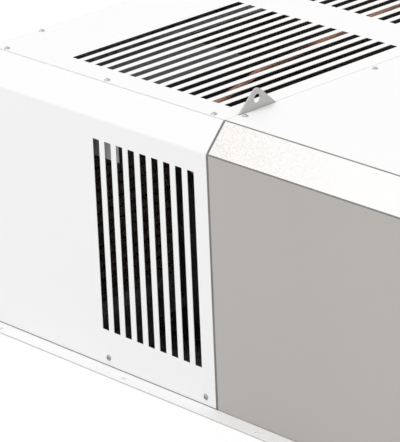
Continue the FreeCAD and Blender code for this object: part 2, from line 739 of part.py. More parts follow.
def evaporator_floor():
    body = new_body("evaporator_floor")
    slab = new_sketch(body, "XY_Plane")
    end = RIGHT_FACE - S.casing_sheet - S.rail_thick - S.fit
    reach = RAIL_INSIDE - S.fit
    add_rectangle(slab, BULKHEAD_RIGHT + S.fit, -reach, end, reach)
    add_pad(body, slab, S.insulation)
    openings = new_sketch(body, "XY_Plane")
    half = HALF_WIDTH - S.duct_side_room
    add_rectangle(openings, SUPPLY_START, -half, SUPPLY_START + S.duct_length, half)
    add_rectangle(openings, RETURN_END - S.duct_length, -half, RETURN_END, half)
    cut_through(body, openings)
    return node(body, "evaporator_floor")


# Condensing section's casing


def side_panel(name, side):
    """One folded sheet: wall, long chamfer and a flange under the top panel, with the air slots."""
    sheet = S.casing_sheet
    flange_y = HALF_WIDTH - S.chamfer_in - S.panel_turn_in
    section = [
        (HALF_WIDTH, PANEL_FOOT),
        corner_low(0),
        (chamfer_at(0, UNDER_TOP), UNDER_TOP),
        (flange_y, UNDER_TOP),
        (flange_y, UNDER_TOP - sheet),
        (chamfer_at(sheet, UNDER_TOP - sheet), UNDER_TOP - sheet),
        corner_low(sheet),
        (HALF_WIDTH - sheet, PANEL_FOOT),
    ]
    length = BULKHEAD_LEFT - S.partition_seam - PANEL_START
    body = plate_across(name, on_side(side, section), PANEL_START, length)
    slots = new_sketch(body, "XZ_Plane")
    middle = BULKHEAD - S.side_slot_margin
    half = S.slot_width / 2
    slot_head = TOP - S.chamfer_down - S.side_slot_head
    add_rectangle(slots, middle - half, S.side_slot_foot, middle + half, slot_head)
    slot = cut_through(body, slots)
    repeat(body, slot, slots, "H_Axis", S.slot_pitch, S.side_slot_count, backwards=True)
    return node(body, name)


def lug_notches(body, left, right):
    """Cut the room for both lugs out of a top panel's edge."""
    notches = new_sketch(body, "XY_Plane")
    half = S.lug_width / 2 + S.lug_slot_clear
    for side in (FRONT, REAR):
        middle = LUG_MIDDLE * side
        add_rectangle(notches, left, middle - half, right, middle + half)
    cut_through(body, notches)


def top_panel():
    body = new_body("condenser_top_panel")
    edge = HALF_WIDTH - S.chamfer_in - S.seam / 2
    right = BULKHEAD - S.seam / 2
    sheet = new_sketch(body, "XY_Plane", UNDER_TOP)
    add_rectangle(sheet, PANEL_START, -edge, right, edge)
    add_pad(body, sheet, S.casing_sheet)
    lug_notches(body, BULKHEAD_LEFT - S.lug_slot_clear, right + S.seam)
    slots = new_sketch(body, "XY_Plane")
    middle = BULKHEAD - S.top_slot_margin
    left_edge = middle - S.slot_width / 2
    right_edge = middle + S.slot_width / 2
    near = S.top_grille_web / 2
    far = HALF_WIDTH - S.chamfer_in - S.top_slot_edge
    add_rectangle(slots, left_edge, near, right_edge, far)
    add_rectangle(slots, left_edge, -far, right_edge, -near)
    slot = cut_through(body, slots)
    repeat(body, slot, slots, "H_Axis", S.slot_pitch, S.top_slot_count, backwards=True)
    return node(body, "condenser_top_panel")


def casing_outline(inset, foot):
    """The whole cross outline of the casing, this far inside its outer face."""
    low = corner_low(inset)
    return mirrored_outline([(low[0], foot), low, corner_high(inset)])


def fan_holes(body, spread, up):
    """Cut two fan openings through a plate."""
    openings = new_sketch(body, "YZ_Plane")
    sides = count_of(S.fan_sides)
    turns = [2 * math.pi * (number + 0.5) / sides for number in range(sides)]
    for side in (FRONT, REAR):
        add_outline(openings, [
            (spread / 2 * side + FAN_OPENING * math.cos(turn), up + FAN_OPENING * math.sin(turn))
            for turn in turns
        ])
    cut_through(body, openings)


def fan_rings(name, plate_back, spread, up):
    """A ring behind each fan opening, round the rotor's blades."""
    long = S.fan_ring_deep - S.casing_sheet
    outside = turned_skin([(0, FAN_OPENING + S.casing_sheet), (long, FAN_OPENING + S.casing_sheet)],
                          S.fan_sides, along_x=True)
    inside = turned_skin([(0, FAN_OPENING), (long, FAN_OPENING)], S.fan_sides, along_x=True)
    ring = outside.cut(inside)
    rings = [place(shaped(ring.copy()), plate_back, spread / 2 * side, up) for side in (FRONT, REAR)]
    return node(group(rings), name)


def condenser_end_panel():
    name = "condenser_end_panel"
    body = plate_across(
        name, casing_outline(0, PANEL_FOOT), LEFT_FACE, S.casing_sheet
    )
    fan_holes(body, S.condenser_fan_spread, S.condenser_fan_up)
    holes = new_sketch(body, "YZ_Plane", LEFT_FACE)
    add_circle(holes, 0, S.switch_up, S.switch_neck / 2 + S.fit)
    for side in (FRONT, REAR):
        add_circle(holes, S.gland_spread / 2 * side, S.gland_up, S.gland_thread / 2 + S.fit)
    cut_through(body, holes)
    return node(body, name)


def round_lugs(body, plate_top):
    """Round the pointed lugs' peaks and bore them."""
    DOCUMENT.recompute()
    peak = float(plate_top + S.lug_peak)
    base = body.Tip
    peaks = []
    for number, edge in enumerate(base.Shape.Edges, start=1):
        if all(abs(vertex.Z - peak) < TINY for vertex in edge.Vertexes):
            peaks.append(f"Edge{number}")
    rounding = body.newObject("PartDesign::Fillet", f"{body.Name}_rounding")
    rounding.Base = (base, peaks)
    bind(rounding, "Radius", S.lug_round)
    body.Tip = rounding
    holes = new_sketch(body, "YZ_Plane")
    for side in (FRONT, REAR):
        add_circle(holes, LUG_MIDDLE * side, plate_top + S.lug_hole_up, S.lug_hole / 2)
    body.Tip = cut_through(body, holes)


def lug_outline(outer_points):
    """Half an outline that ends in a lug on its top edge."""
    half = S.lug_width / 2
    return outer_points + [
        (LUG_MIDDLE + half, UNDER_TOP),
        (LUG_MIDDLE + half, TOP),
        (LUG_MIDDLE, TOP + S.lug_peak),
        (LUG_MIDDLE - half, TOP),
        (LUG_MIDDLE - half, UNDER_TOP),
    ]


def pipe_hole(body):
    passage = new_sketch(body, "YZ_Plane")
    add_circle(passage, PASS_Y, PASS_Z, S.pipe_pass / 2)
    body.Tip = cut_through(body, passage)


def partition_plate():
    name = "partition_plate"
    notch = RAIL_INSIDE - S.fit
    above_rail = S.rail_up + S.fit
    recess = S.partition_recess
    half = lug_outline([
        (notch, 0),
        (notch, above_rail),
        (HALF_WIDTH - recess, above_rail),
        corner_low(recess),
        (chamfer_at(recess, UNDER_TOP), UNDER_TOP),
    ])
    body = plate_across(name, mirrored_outline(half), BULKHEAD_LEFT, S.partition_thick)
    round_lugs(body, TOP)
    pipe_hole(body)
    return node(body, name)


def end_lifting_bar():
    """Cross bar under the cover's far end that carries the second pair of lugs."""
    name = "end_lifting_bar"
    inset = S.casing_sheet + S.fit
    foot = UNDER_TOP - S.end_bar_down
    half = lug_outline([
        (HALF_WIDTH - inset, foot),
        corner_low(inset),
        (chamfer_at(inset, UNDER_TOP), UNDER_TOP),
    ])
    start = RIGHT_FACE - S.casing_sheet - S.partition_thick
    body = plate_across(name, mirrored_outline(half), start, S.partition_thick)
    round_lugs(body, TOP)
    return node(body, name)


# Evaporator section's casing


def evaporator_side_panel(name, side):
    sheet = S.casing_sheet
    top = TOP - S.chamfer_down - S.seal_width / 2
    section = [
        (HALF_WIDTH, PANEL_FOOT),
        (HALF_WIDTH, top),
        (HALF_WIDTH - sheet, top),
        (HALF_WIDTH - sheet, PANEL_FOOT),
    ]
    body = plate_across(name, on_side(side, section), GREY_START, PANEL_END - GREY_START)
    if side == REAR:
        drain_hole(body)
    return node(body, name)


def corner_strip(name, side):
    """Chamfered corner of the insulated section, a strip between two sealing beads."""
    sheet = S.casing_sheet
    gap = S.seal_width / 2
    section = [
        up_chamfer(0, gap),
        down_chamfer(0, gap),
        down_chamfer(sheet, gap),
        up_chamfer(sheet, gap),
    ]
    body = plate_across(name, on_side(side, section), GREY_START, PANEL_END - GREY_START)
    return node(body, name)


def panel_seals():
    """Grey beads in the long seams of the insulated section, just behind the panel faces."""
    recess = S.seal_recess
    sheet = S.casing_sheet
    gap = S.seal_width / 2
    panel_top = TOP - S.chamfer_down - gap
    cover_edge = HALF_WIDTH - S.chamfer_in - gap
    low_seam = [
        (HALF_WIDTH - recess, panel_top),
        up_chamfer(recess, gap),
        up_chamfer(sheet, gap),
        (HALF_WIDTH - sheet, panel_top),
    ]
    high_seam = [
        down_chamfer(recess, gap),
        (cover_edge, TOP - recess),
        (cover_edge, UNDER_TOP),
        down_chamfer(sheet, gap),
    ]
    beads = []
    for side in (FRONT, REAR):
        for section in (low_seam, high_seam):
            outline = on_side(side, section)
            beads.append(plate_across("seal", outline, GREY_START, PANEL_END - GREY_START))
    return node(group(beads), "panel_seals")


def evaporator_end_panel():
    name = "evaporator_end_panel"
    start = RIGHT_FACE - S.casing_sheet
    body = plate_across(name, casing_outline(0, PANEL_FOOT), start, S.casing_sheet)
    return node(body, name)


def evaporator_top_cover():
    name = "evaporator_top_cover"
    body = new_body(name)
    edge = HALF_WIDTH - S.chamfer_in - S.seal_width / 2
    left = BULKHEAD + S.seam / 2
    sheet = new_sketch(body, "XY_Plane", UNDER_TOP)
    add_rectangle(sheet, left, -edge, PANEL_END, edge)
    add_pad(body, sheet, S.casing_sheet)
    clear = S.lug_slot_clear
    lug_notches(body, left - S.seam, BULKHEAD_RIGHT + clear)
    far = RIGHT_FACE - S.casing_sheet - S.partition_thick - clear
    lug_notches(body, far, RIGHT_FACE)
    return node(body, name)


def foam_wall(side):
    """Foam of one long wall and its chamfer, up to the foam of the cover."""
    inner_high = corner_high(FOAM_IN)
    shelf = TOP - FOAM_OUT
    section = [
        (HALF_WIDTH - FOAM_OUT, FLOOR_TOP),
        corner_low(FOAM_OUT),
        corner_high(FOAM_OUT),
        (inner_high[0], shelf),
        inner_high,
        corner_low(FOAM_IN),
        (HALF_WIDTH - FOAM_IN, FLOOR_TOP),
    ]
    body = plate_across("foam_wall", on_side(side, section), FOAM_START, FOAM_END - FOAM_START)
    if side == REAR:
        drain_hole(body)
    return body


def drain_hole(body):
    outlet = new_sketch(body, "XZ_Plane")
    add_circle(outlet, DRAIN_X, DRAIN_Z, S.drain_pipe / 2 + S.fit)
    cut_through(body, outlet)


def foam_cover():
    reach, low = corner_high(FOAM_IN)
    half = reach - S.fit
    high = UNDER_TOP - S.fit
    return box(FOAM_START, -half, low, FOAM_END - FOAM_START, half * 2, high - low)


def cavity_outline():
    low = corner_low(FOAM_IN + S.fit)
    high = corner_high(FOAM_IN + S.fit)
    return mirrored_outline([(low[0], FLOOR_TOP), low, high])


def insulation():
    """Foam of the long walls and the cover, and on the bulkhead and the far end between them."""
    bulkhead = plate_across("foam_bulkhead", cavity_outline(), FOAM_START, S.insulation)
    pipe_hole(bulkhead)
    far = plate_across("foam_far", cavity_outline(), FOAM_END - S.insulation, S.insulation)
    slabs = [foam_wall(FRONT), foam_wall(REAR), bulkhead, far, foam_cover()]
    return node(group(slabs), "insulation")


# Casing screws


def screw(x, y, z, rotation=None):
    return prism(x, y, z, S.screw_head, S.screw_high, 6, rotation)


def spread_over(span, count):
    """Places evenly spread over a span that is centred on the middle line."""
    return [span / 2 * (1 - 2 * number / (count - 1)) for number in range(count)]


def casing_screws():
    screws = []
    top_edge = HALF_WIDTH - S.chamfer_in - S.top_screw_in
    top_row = S.condenser_length - S.top_screw_from_bulkhead - S.top_screw_from_end
    side_first = BULKHEAD - S.side_screw_from_bulkhead
    side_places = (side_first, side_first - S.side_screw_pitch, LEFT_FACE + S.side_screw_from_end)
    for side, turn in ((FRONT, AGAINST_Y), (REAR, ALONG_Y)):
        for number in range(3):
            x = BULKHEAD - S.top_screw_from_bulkhead - top_row / 2 * number
            screws.append(screw(x, top_edge * side, TOP))
            screws.append(screw(side_places[number], HALF_WIDTH * side, S.side_screw_up, turn))
        screws.append(screw((BULKHEAD + RIGHT_FACE) / 2, top_edge * side, TOP))
    for y in spread_over(S.end_row_span, 4):
        screws.append(screw(LEFT_FACE + S.top_screw_in, y, TOP))
        screws.append(screw(LEFT_FACE, y, S.side_screw_up, AGAINST_X))
        screws.append(screw(RIGHT_FACE, y, S.side_screw_up, ALONG_X))
    for y in spread_over(S.cover_row_span, 4):
        screws.append(screw(BULKHEAD + S.cover_screw_in, y, TOP))
        screws.append(screw(RIGHT_FACE - S.cover_screw_in, y, TOP))
    return node(group(screws), "casing_screws")


# Fans


def blend(start, end, share):
    return float(start) + (float(end) - float(start)) * share


def skin(rings):
    """A solid of flat faces through a row of closed rings with equally many corners."""
    faces = [flat_face(rings[0]), flat_face(rings[-1])]
    for lower, upper in zip(rings, rings[1:]):
        for index, corner in enumerate(lower):
            following = (index + 1) % len(lower)
            across = [corner, lower[following], upper[following], upper[index]]
            if is_flat(across):
                faces.append(flat_face(across))
            else:
                faces.append(flat_face([across[0], across[1], across[2]]))
                faces.append(flat_face([across[0], across[2], across[3]]))
    shell = Part.makeShell(faces)
    shell.sewShape()
    solid = Part.makeSolid(shell)
    if solid.Volume < 0:
        solid.reverse()
    return solid


def flat_face(corners):
    return Part.Face(Part.makePolygon([*corners, corners[0]]))


def is_flat(corners):
    first, second, third, last = corners
    normal = (second - first).cross(third - first)
    return abs(normal.dot(last - first)) < normal.Length * TINY * TINY


def ring_about(middle, across, other, radius, sides):
    """A regular ring in the plane of two square directions."""
    corners = []
    for number in range(sides):
        angle = 2 * math.pi * (number + 0.5) / sides
        corners.append(middle + across * (radius * math.cos(angle)) + other * (radius * math.sin(angle)))
    return corners


def turned_skin(stations, sides, along_x=False):
    """A vessel turned about Z, or X, through pairs of height and radius."""
    heading = Vector(1, 0, 0) if along_x else Vector(0, 0, 1)
    across = Vector(0, 1, 0)
    other = heading.cross(across)
    rings = [
        ring_about(heading * float(up), across, other, float(radius), count_of(sides))
        for up, radius in stations
    ]
    return skin(rings)


def blade_ring(radius, chord, pitch, middle):
    """One station of a blade: a thin cambered outline in a plane across the radius."""
    camber = float(S.blade_camber)
    half_thick = float(S.blade_thick) / 2
    turn = math.radians(pitch)
    corners = []
    for along, rise in (
        (-chord / 2, 0),
        (-chord / 5, camber + half_thick),
        (chord / 5, camber + half_thick),
        (chord / 2, 0),
        (chord / 5, camber - half_thick),
        (-chord / 5, camber - half_thick),
    ):
        axial = middle + along * math.sin(turn) - rise * math.cos(turn)
        corners.append(Vector(axial, along * math.cos(turn) + rise * math.sin(turn), radius))
    return corners


def blade_shape():
    """A twisted, cambered blade from inside the hub to the tip circle."""
    hub = float(S.fan_hub) / 2
    tip = float(S.fan_diameter) / 2
    ends = []
    for circle, chord, pitch in (
        (hub, S.blade_root_chord, S.blade_root_pitch),
        (tip, S.blade_tip_chord, S.blade_tip_pitch),
    ):
        reach = float(chord) / 2 * math.cos(math.radians(float(pitch)))
        ends.append(math.sqrt(circle * circle - reach * reach))
    rings = []
    for share in (0.0, 0.5, 1.0):
        chord = blend(S.blade_root_chord, S.blade_tip_chord, share)
        pitch = blend(S.blade_root_pitch, S.blade_tip_pitch, share)
        radius = blend(ends[0] - float(S.blade_thick), ends[1], share)
        rings.append(blade_ring(radius, chord, pitch, float(S.fan_hub_long) / 2))
    return skin(rings)


def drum(radius, start, end):
    """A drum of flat faces about the X axis between two places on it."""
    return turned_skin([(start, radius), (end, radius)], S.vessel_sides, along_x=True)


def turned_rod(radius, start, end):
    """A cylinder about the X axis between two places on it."""
    return Part.makeCylinder(radius, end - start, Vector(start, 0, 0), Vector(1, 0, 0))


def rotor_shape():
    """Rotor about the X axis: its hub starts at 0, its shaft runs back into the motor."""
    rotor = drum(S.fan_hub / 2, 0, S.fan_hub_long)
    shaft_start = -float(S.rotor_gap + S.shaft_long)
    rotor = rotor.fuse(turned_rod(float(S.shaft_diameter) / 2, shaft_start, 0))
    blade = blade_shape()
    count = count_of(S.blade_count)
    for number in range(count):
        turned = blade.copy()
        turned.rotate(Vector(0, 0, 0), Vector(1, 0, 0), 360 * number / count)
        rotor = rotor.fuse(turned)
    return rotor


def motor_shape():
    """The motor stands on the guard's plate, at 0, and is bored for the shaft."""
    long = float(S.motor_long)
    motor = drum(S.motor_diameter / 2, 0, long)
    return motor.cut(turned_rod(float(S.shaft_diameter / 2 + S.shaft_clear), 0, long))


def guard_shape(with_ring):
    """Four arms from the motor's plate to feet on the fan panel, with the guard's ring or bare."""
    bar = float(S.guard_bar)
    back = -float(S.guard_stand)
    front = back - bar
    wide = float(S.guard_ring_wide)
    arm_wide = float(S.guard_arm_wide)
    reach = float(S.guard_outer) / 2
    hub = float(S.guard_hub) / 2
    guard = drum(hub, front, back)
    if with_ring:
        guard = guard.fuse(drum(reach, front, back).cut(drum(reach - wide, front, back)))
    foot_start = float(FAN_OPENING + S.casing_sheet)
    for number in range(4):
        arm = Part.makeBox(bar, arm_wide, reach - hub, Vector(front, -arm_wide / 2, hub - wide / 2))
        foot = Part.makeBox(
            -front, arm_wide, reach - wide / 2 - foot_start,
            Vector(front, -arm_wide / 2, foot_start),
        )
        for piece in (arm, foot):
            piece.rotate(Vector(0, 0, 0), Vector(1, 0, 0), 45 + 90 * number)
            guard = guard.fuse(piece)
    return guard.removeSplitter()


def fan_pair(section, face, spread, up, carrier, with_ring):
    """Two rotors, two motors and their guards or mounts in one section, all blowing towards -X."""
    rotor = rotor_shape()
    motor = motor_shape()
    guard = guard_shape(with_ring)
    motor_x = face - S.guard_stand
    rotor_x = motor_x + S.motor_long + S.rotor_gap
    motors = []
    guards = []
    for label, side in (("front", FRONT), ("rear", REAR)):
        y = spread / 2 * side
        turning = place(shaped(rotor.copy()), rotor_x, y, up)
        node(turning, f"{section}_fan_{label}")
        motors.append(place(shaped(motor.copy()), motor_x, y, up))
        guards.append(place(shaped(guard.copy()), face, y, up))
    node(group(motors), f"{section}_fan_motors")
    node(group(guards), f"{section}_fan_{carrier}")


def evaporator_fan_plate():
    name = "evaporator_fan_plate"
    body = plate_across(name, cavity_outline(), FAN_PLATE, S.fan_plate_sheet)
    fan_holes(body, S.evaporator_fan_spread, S.evaporator_fan_up)
    pipe_hole(body)
    return node(body, name)


# Condenser coil


def condenser_coil():
    """Flat-tube coil: fin packs between flat tubes, which end on the headers' flats."""
    tubes = []
    fins = []
    count = count_of(S.coil_tube_count)
    fin_x = COIL_FACE + (S.coil_depth - S.coil_fin_depth) / 2
    fin_high = COIL_PITCH - S.coil_tube_thick
    wide = COIL_HALF * 2
    for number in range(count + 1):
        middle = S.coil_foot + COIL_PITCH * number
        fin_foot = middle + S.coil_tube_thick / 2
        fins.append(box(fin_x, -COIL_HALF, fin_foot, S.coil_fin_depth, wide, fin_high))
        if number:
            foot = middle - S.coil_tube_thick / 2
            tubes.append(box(COIL_FACE, -COIL_HALF, foot, S.coil_depth, wide, S.coil_tube_thick))
    node(group(fins), "condenser_fins")
    node(group(tubes), "condenser_flat_tubes")


def condenser_headers():
    """D-section header pipes; the rear one has the inlet and outlet stubs."""
    foot = S.coil_foot - S.header_over
    high = COIL_HIGH + S.header_over * 2
    size = S.header_diameter
    headers = []
    for side in (FRONT, REAR):
        pipe = prism(HEADER_X, HEADER_Y * side, foot, size, high, S.vessel_sides)
        if side == REAR:
            stubs = [
                prism(
                    HEADER_X, HEADER_Y, up, S.pipe_stub, size / 2 + S.pipe_stub_long,
                    S.pipe_sides, ALONG_X,
                )
                for up in (COIL_INLET, S.coil_outlet_up)
            ]
            pipe = fused(pipe, *stubs)
        low_y = COIL_HALF - size if side == REAR else -COIL_HALF
        shave = box(HEADER_X - size / 2, low_y, foot, size, size, high)
        headers.append(without(pipe, shave))
    node(group(headers), "condenser_headers")


def condenser_channels():
    """Channels that hold the coil on the floor pan and cap its top."""
    low = S.floor_sheet
    coil_low = S.coil_foot + S.coil_tube_thick / 2
    coil_high = S.coil_foot + COIL_HIGH - S.coil_tube_thick / 2
    wall = S.floor_sheet
    wide = COIL_HALF * 2
    channels = []
    for foot, high, hollow_foot in (
        (low, coil_low - low, low),
        (coil_high, S.channel_high, coil_high + wall),
    ):
        outside = box(COIL_FACE, -COIL_HALF, foot, S.coil_depth, wide, high)
        hollow = box(
            COIL_FACE + wall, -COIL_HALF, hollow_foot,
            S.coil_depth - wall * 2, wide, high - wall,
        )
        channels.append(without(outside, hollow))
    node(group(channels), "condenser_channels")


# Compressor


def domed(radius, round_by, high):
    """Stations of a vessel with rounded ends: an arc of three stations at each end."""
    radius, round_by, high = float(radius), float(round_by), float(high)
    slant = round_by * (1 - math.sqrt(0.5))
    low_end = [(0, radius - round_by), (slant, radius - slant), (round_by, radius)]
    high_end = [(high - up, reach) for up, reach in reversed(low_end)]
    return low_end + high_end


def compressor_shell():
    """Hermetic shell: domed ends, weld band, foot plate, discharge and suction stubs."""
    radius = S.compressor_diameter / 2
    sides = S.vessel_sides
    shell = shaped(turned_skin(domed(radius, S.compressor_round, S.compressor_high), sides))
    place(shell, COMPRESSOR_X, COMPRESSOR_Y, SHELL_FOOT)
    band_radius = radius + S.weld_band
    band_ends = [(0, band_radius), (S.weld_band_high, band_radius)]
    band = shaped(turned_skin(band_ends, sides))
    place(band, COMPRESSOR_X, COMPRESSOR_Y, SHELL_FOOT + S.weld_band_up)
    plate = box(
        COMPRESSOR_X - S.foot_plate_long / 2, COMPRESSOR_Y - S.foot_plate_wide / 2,
        SHELL_FOOT - S.foot_plate_thick,
        S.foot_plate_long, S.foot_plate_wide, S.foot_plate_thick,
    )
    stub_foot = STUB_TOP - S.stub_long * 2
    stubs = [
        prism(x, y, stub_foot, size, S.stub_long * 2, S.pipe_sides)
        for x, y, size in (
            (COMPRESSOR_X + S.discharge_stub_right, DISCHARGE_Y, S.stub_diameter),
            (
                COMPRESSOR_X + S.suction_stub_off, COMPRESSOR_Y + S.suction_stub_off,
                S.suction_pipe + S.fit * 4,
            ),
        )
    ]
    return node(fused(shell, band, plate, *stubs), "compressor_shell")


def compressor_feet():
    grommets = []
    bolts = []
    for along in (-1, 1):
        for across in (-1, 1):
            x = COMPRESSOR_X + S.foot_pitch_long / 2 * along
            y = COMPRESSOR_Y + S.foot_pitch_wide / 2 * across
            foot = S.floor_sheet
            sides = S.vessel_sides / 2
            grommets.append(prism(x, y, foot, S.grommet_diameter, S.grommet_high, sides))
            bolts.append(prism(x, y, SHELL_FOOT, S.foot_nut, S.foot_nut_high, 6))
    node(group(grommets), "compressor_grommets")
    node(group(bolts), "compressor_bolts")


def compressor_terminal_cover():
    """Plastic cover over the terminals, hollowed to sit against the shell below its weld band."""
    overlap = S.terminal_wide / 2
    x = COMPRESSOR_X + S.compressor_diameter / 2 - overlap
    foot = SHELL_FOOT + S.weld_band_up - S.terminal_high - S.terminal_under_band
    cover = box(
        x, COMPRESSOR_Y - S.terminal_long / 2, foot,
        S.terminal_wide + overlap, S.terminal_long, S.terminal_high,
    )
    shell = rod(
        COMPRESSOR_X, COMPRESSOR_Y, foot,
        S.compressor_diameter + S.fit * 2, S.terminal_high,
    )
    return node(without(cover, shell), "compressor_terminal_cover")


# Liquid receiver, filter drier, sight glass


def liquid_receiver():
    """Vertical vessel on a foot ring, with its inlet and outlet stubs near its bottom."""
    radius = S.receiver_diameter / 2
    edge = S.receiver_edge
    high = S.receiver_high
    stations = [(0, radius - edge), (edge, radius), (high - edge, radius), (high, radius - edge)]
    vessel = shaped(turned_skin(stations, S.vessel_sides))
    place(vessel, RECEIVER_X, RECEIVER_Y, RECEIVER_FOOT)
    ring = prism(
        RECEIVER_X, RECEIVER_Y, S.floor_sheet,
        S.receiver_diameter - edge * 3, S.receiver_foot_high, S.vessel_sides,
    )
    reach = radius + S.pipe_stub_long
    stubs = [
        prism(RECEIVER_X, RECEIVER_Y, S.liquid_up, S.pipe_stub, reach, S.pipe_sides, turn)
        for turn in (ALONG_X, ALONG_Y)
    ]
    return node(fused(vessel, ring, *stubs), "liquid_receiver")


def filter_drier():
    """Drier in the liquid line: a drum with tapered ends."""
    neck = S.drier_neck
    narrow = S.pipe_stub / 2
    wide = S.drier_diameter / 2
    stations = [
        (0, narrow), (neck, wide), (neck + S.drier_long, wide), (neck * 2 + S.drier_long, narrow),
    ]
    drum = shaped(turned_skin(stations, S.vessel_sides, along_x=True))
    return node(place(drum, DRIER_X - neck, RECEIVER_Y, S.liquid_up), "filter_drier")


def sight_glass():
    middle = GLASS_X + S.glass_long / 2
    up = S.liquid_up
    fitting = prism(GLASS_X, RECEIVER_Y, up, S.glass_diameter, S.glass_long, 6, ALONG_X)
    eye = prism(middle, RECEIVER_Y, up, S.glass_eye, S.glass_high, S.vessel_sides / 2)
    return node(fused(fitting, eye), "sight_glass")


# Refrigerant lines


def tube(points, diameter, bend):
    """A pipe along straight runs joined by tangent bends, its section a regular ring."""
    corners = [Vector(*(float(value) for value in point)) for point in points]
    heading = (corners[1] - corners[0]).normalize()
    across = square_to(heading)
    sides = count_of(S.pipe_sides)
    middle = corners[0]
    ring = ring_about(middle, across, heading.cross(across), float(diameter) / 2, sides)
    rings = [ring]
    for here, after in zip(corners[1:], corners[2:]):
        leaving = (after - here).normalize()
        turn = heading.getAngle(leaving)
        start = here - heading * (float(bend) * math.tan(turn / 2))
        ring = [corner + (start - middle) for corner in ring]
        rings.append(ring)
        axis = heading.cross(leaving).normalize()
        pivot = start + axis.cross(heading) * float(bend)
        steps = math.ceil(math.degrees(turn) / float(S.pipe_turn) - TINY)
        step = Rotation(axis, math.degrees(turn) / steps)
        for _ in range(steps):
            ring = [pivot + step.multVec(corner - pivot) for corner in ring]
            rings.append(ring)
            start = pivot + step.multVec(start - pivot)
        middle = start
        heading = leaving
    rings.append([corner + (corners[-1] - middle) for corner in ring])
    return skin(rings)


def square_to(heading):
    """A direction square to a heading."""
    upright = Vector(0, 0, 1)
    if heading.cross(upright).Length < TINY:
        upright = Vector(0, 1, 0)
    return heading.cross(upright).normalize()


def discharge_line():
    """From the compressor, forward and up beside the electrical box, over to the coil's inlet."""
    x = COMPRESSOR_X + S.discharge_stub_right
    riser_y = S.riser_from_side - HALF_WIDTH
    low = STUB_TOP + S.pipe_bend + S.pipe_stub_long / 2
    high = TOP - S.riser_under_top
    turn_x = BOX_RIGHT + S.discharge_beside_box
    turn_y = BOX_FAR + S.discharge_beside_box * 2
    route = [
        (x, DISCHARGE_Y, STUB_TOP),
        (x, DISCHARGE_Y, low),
        (x, riser_y, low),
        (x, riser_y, high),
        (turn_x, turn_y, high),
        (STUB_END_X + S.pipe_bend * 3, HEADER_Y, COIL_INLET),
        (STUB_END_X, HEADER_Y, COIL_INLET),
    ]
    return node(shaped(tube(route, S.discharge_pipe, S.pipe_bend)), "discharge_line")


def liquid_line():
    """Coil to receiver, receiver to drier to sight glass, and on to the expansion valve."""
    to_receiver = [
        (STUB_END_X, HEADER_Y, S.coil_outlet_up),
        (RECEIVER_X, HEADER_Y, S.coil_outlet_up),
        (RECEIVER_X, RECEIVER_Y + S.receiver_diameter / 2 + S.pipe_stub_long, S.liquid_up),
    ]
    rise_x = BULKHEAD_LEFT - S.liquid_rise_gap
    glass_end = GLASS_X + S.glass_long
    to_valve = [
        (glass_end, RECEIVER_Y, S.liquid_up),
        (rise_x, RECEIVER_Y, S.liquid_up),
        (rise_x, LIQUID_Y, PASS_Z),
        (VALVE_X, LIQUID_Y, PASS_Z),
        (VALVE_X, VALVE_Y, PASS_Z),
        (VALVE_X, VALVE_Y, VALVE_TOP),
    ]
    sense_up = S.switch_box_up + S.switch_box_high / 4
    share = (sense_up - S.liquid_up) / (PASS_Z - S.liquid_up)
    sense_y = RECEIVER_Y + (LIQUID_Y - RECEIVER_Y) * share
    switch_side = SWITCH_Y + S.switch_box_wide / 2
    feed = shaped(tube(to_valve, S.liquid_pipe, S.bend_small))
    sensing = prism(
        rise_x, sense_y, sense_up,
        S.sensing_pipe, sense_y - switch_side, S.pipe_sides, AGAINST_Y,
    )
    stub_end = RECEIVER_X + S.receiver_diameter / 2 + S.pipe_stub_long
    drier_start = DRIER_X - S.drier_neck
    drier_end = DRIER_X + S.drier_long + S.drier_neck
    at_y = RECEIVER_Y
    up = S.liquid_up
    first = tube([(stub_end, at_y, up), (drier_start, at_y, up)], S.liquid_pipe, 0)
    second = tube([(drier_end, at_y, up), (GLASS_X, at_y, up)], S.liquid_pipe, 0)
    return node(
        group([
            shaped(tube(to_receiver, S.liquid_pipe, S.pipe_bend)),
            shaped(first),
            shaped(second),
            fused(feed, sensing),
        ]),
        "liquid_line",
    )


def suction_line():
    """From the evaporator's outlets, through the bulkhead, down to the compressor."""
    x = COMPRESSOR_X + S.suction_stub_off
    y = COMPRESSOR_Y + S.suction_stub_off
    route = [
        (x, y, STUB_TOP),
        (x, y, PASS_Z),
        (x, SUCTION_Y, PASS_Z),
        (SUCTION_X, SUCTION_Y, PASS_Z),
        (SUCTION_X, COLLECTOR_Y, PASS_Z),
        (tube_x(0), COLLECTOR_Y, PASS_Z),
        (tube_x(0), COLLECTOR_Y, tube_z(0)),
    ]
    main = shaped(tube(route, S.suction_pipe, S.suction_bend))
    outlets = []
    for row in range(1, count_of(S.cooler_tube_count), 2):
        start = (tube_x(0), END_PLATE_Y, tube_z(row))
        end = (tube_x(0), COLLECTOR_Y, tube_z(row))
        outlets.append(shaped(tube([start, end], S.cooler_tube, 0)))
    return node(fused(main, *outlets), "suction_line")


def pipe_grommet():
    """Rubber plug that carries the two lines through the bulkhead."""
    start = BULKHEAD_LEFT - S.grommet_lip
    end = BULKHEAD_RIGHT + S.fit
    plug = prism(
        start, PASS_Y, PASS_Z, S.pipe_pass - S.fit * 2, end - start, S.vessel_sides / 2, ALONG_X,
    )
    holes = [
        shaped(tube([(start, y, PASS_Z), (end, y, PASS_Z)], pipe + S.fit * 2, 0))
        for y, pipe in ((SUCTION_Y, S.suction_pipe), (LIQUID_Y, S.liquid_pipe))
    ]
    return node(without(plug, *holes), "pipe_grommet")


# Evaporator coil, drain and defrost


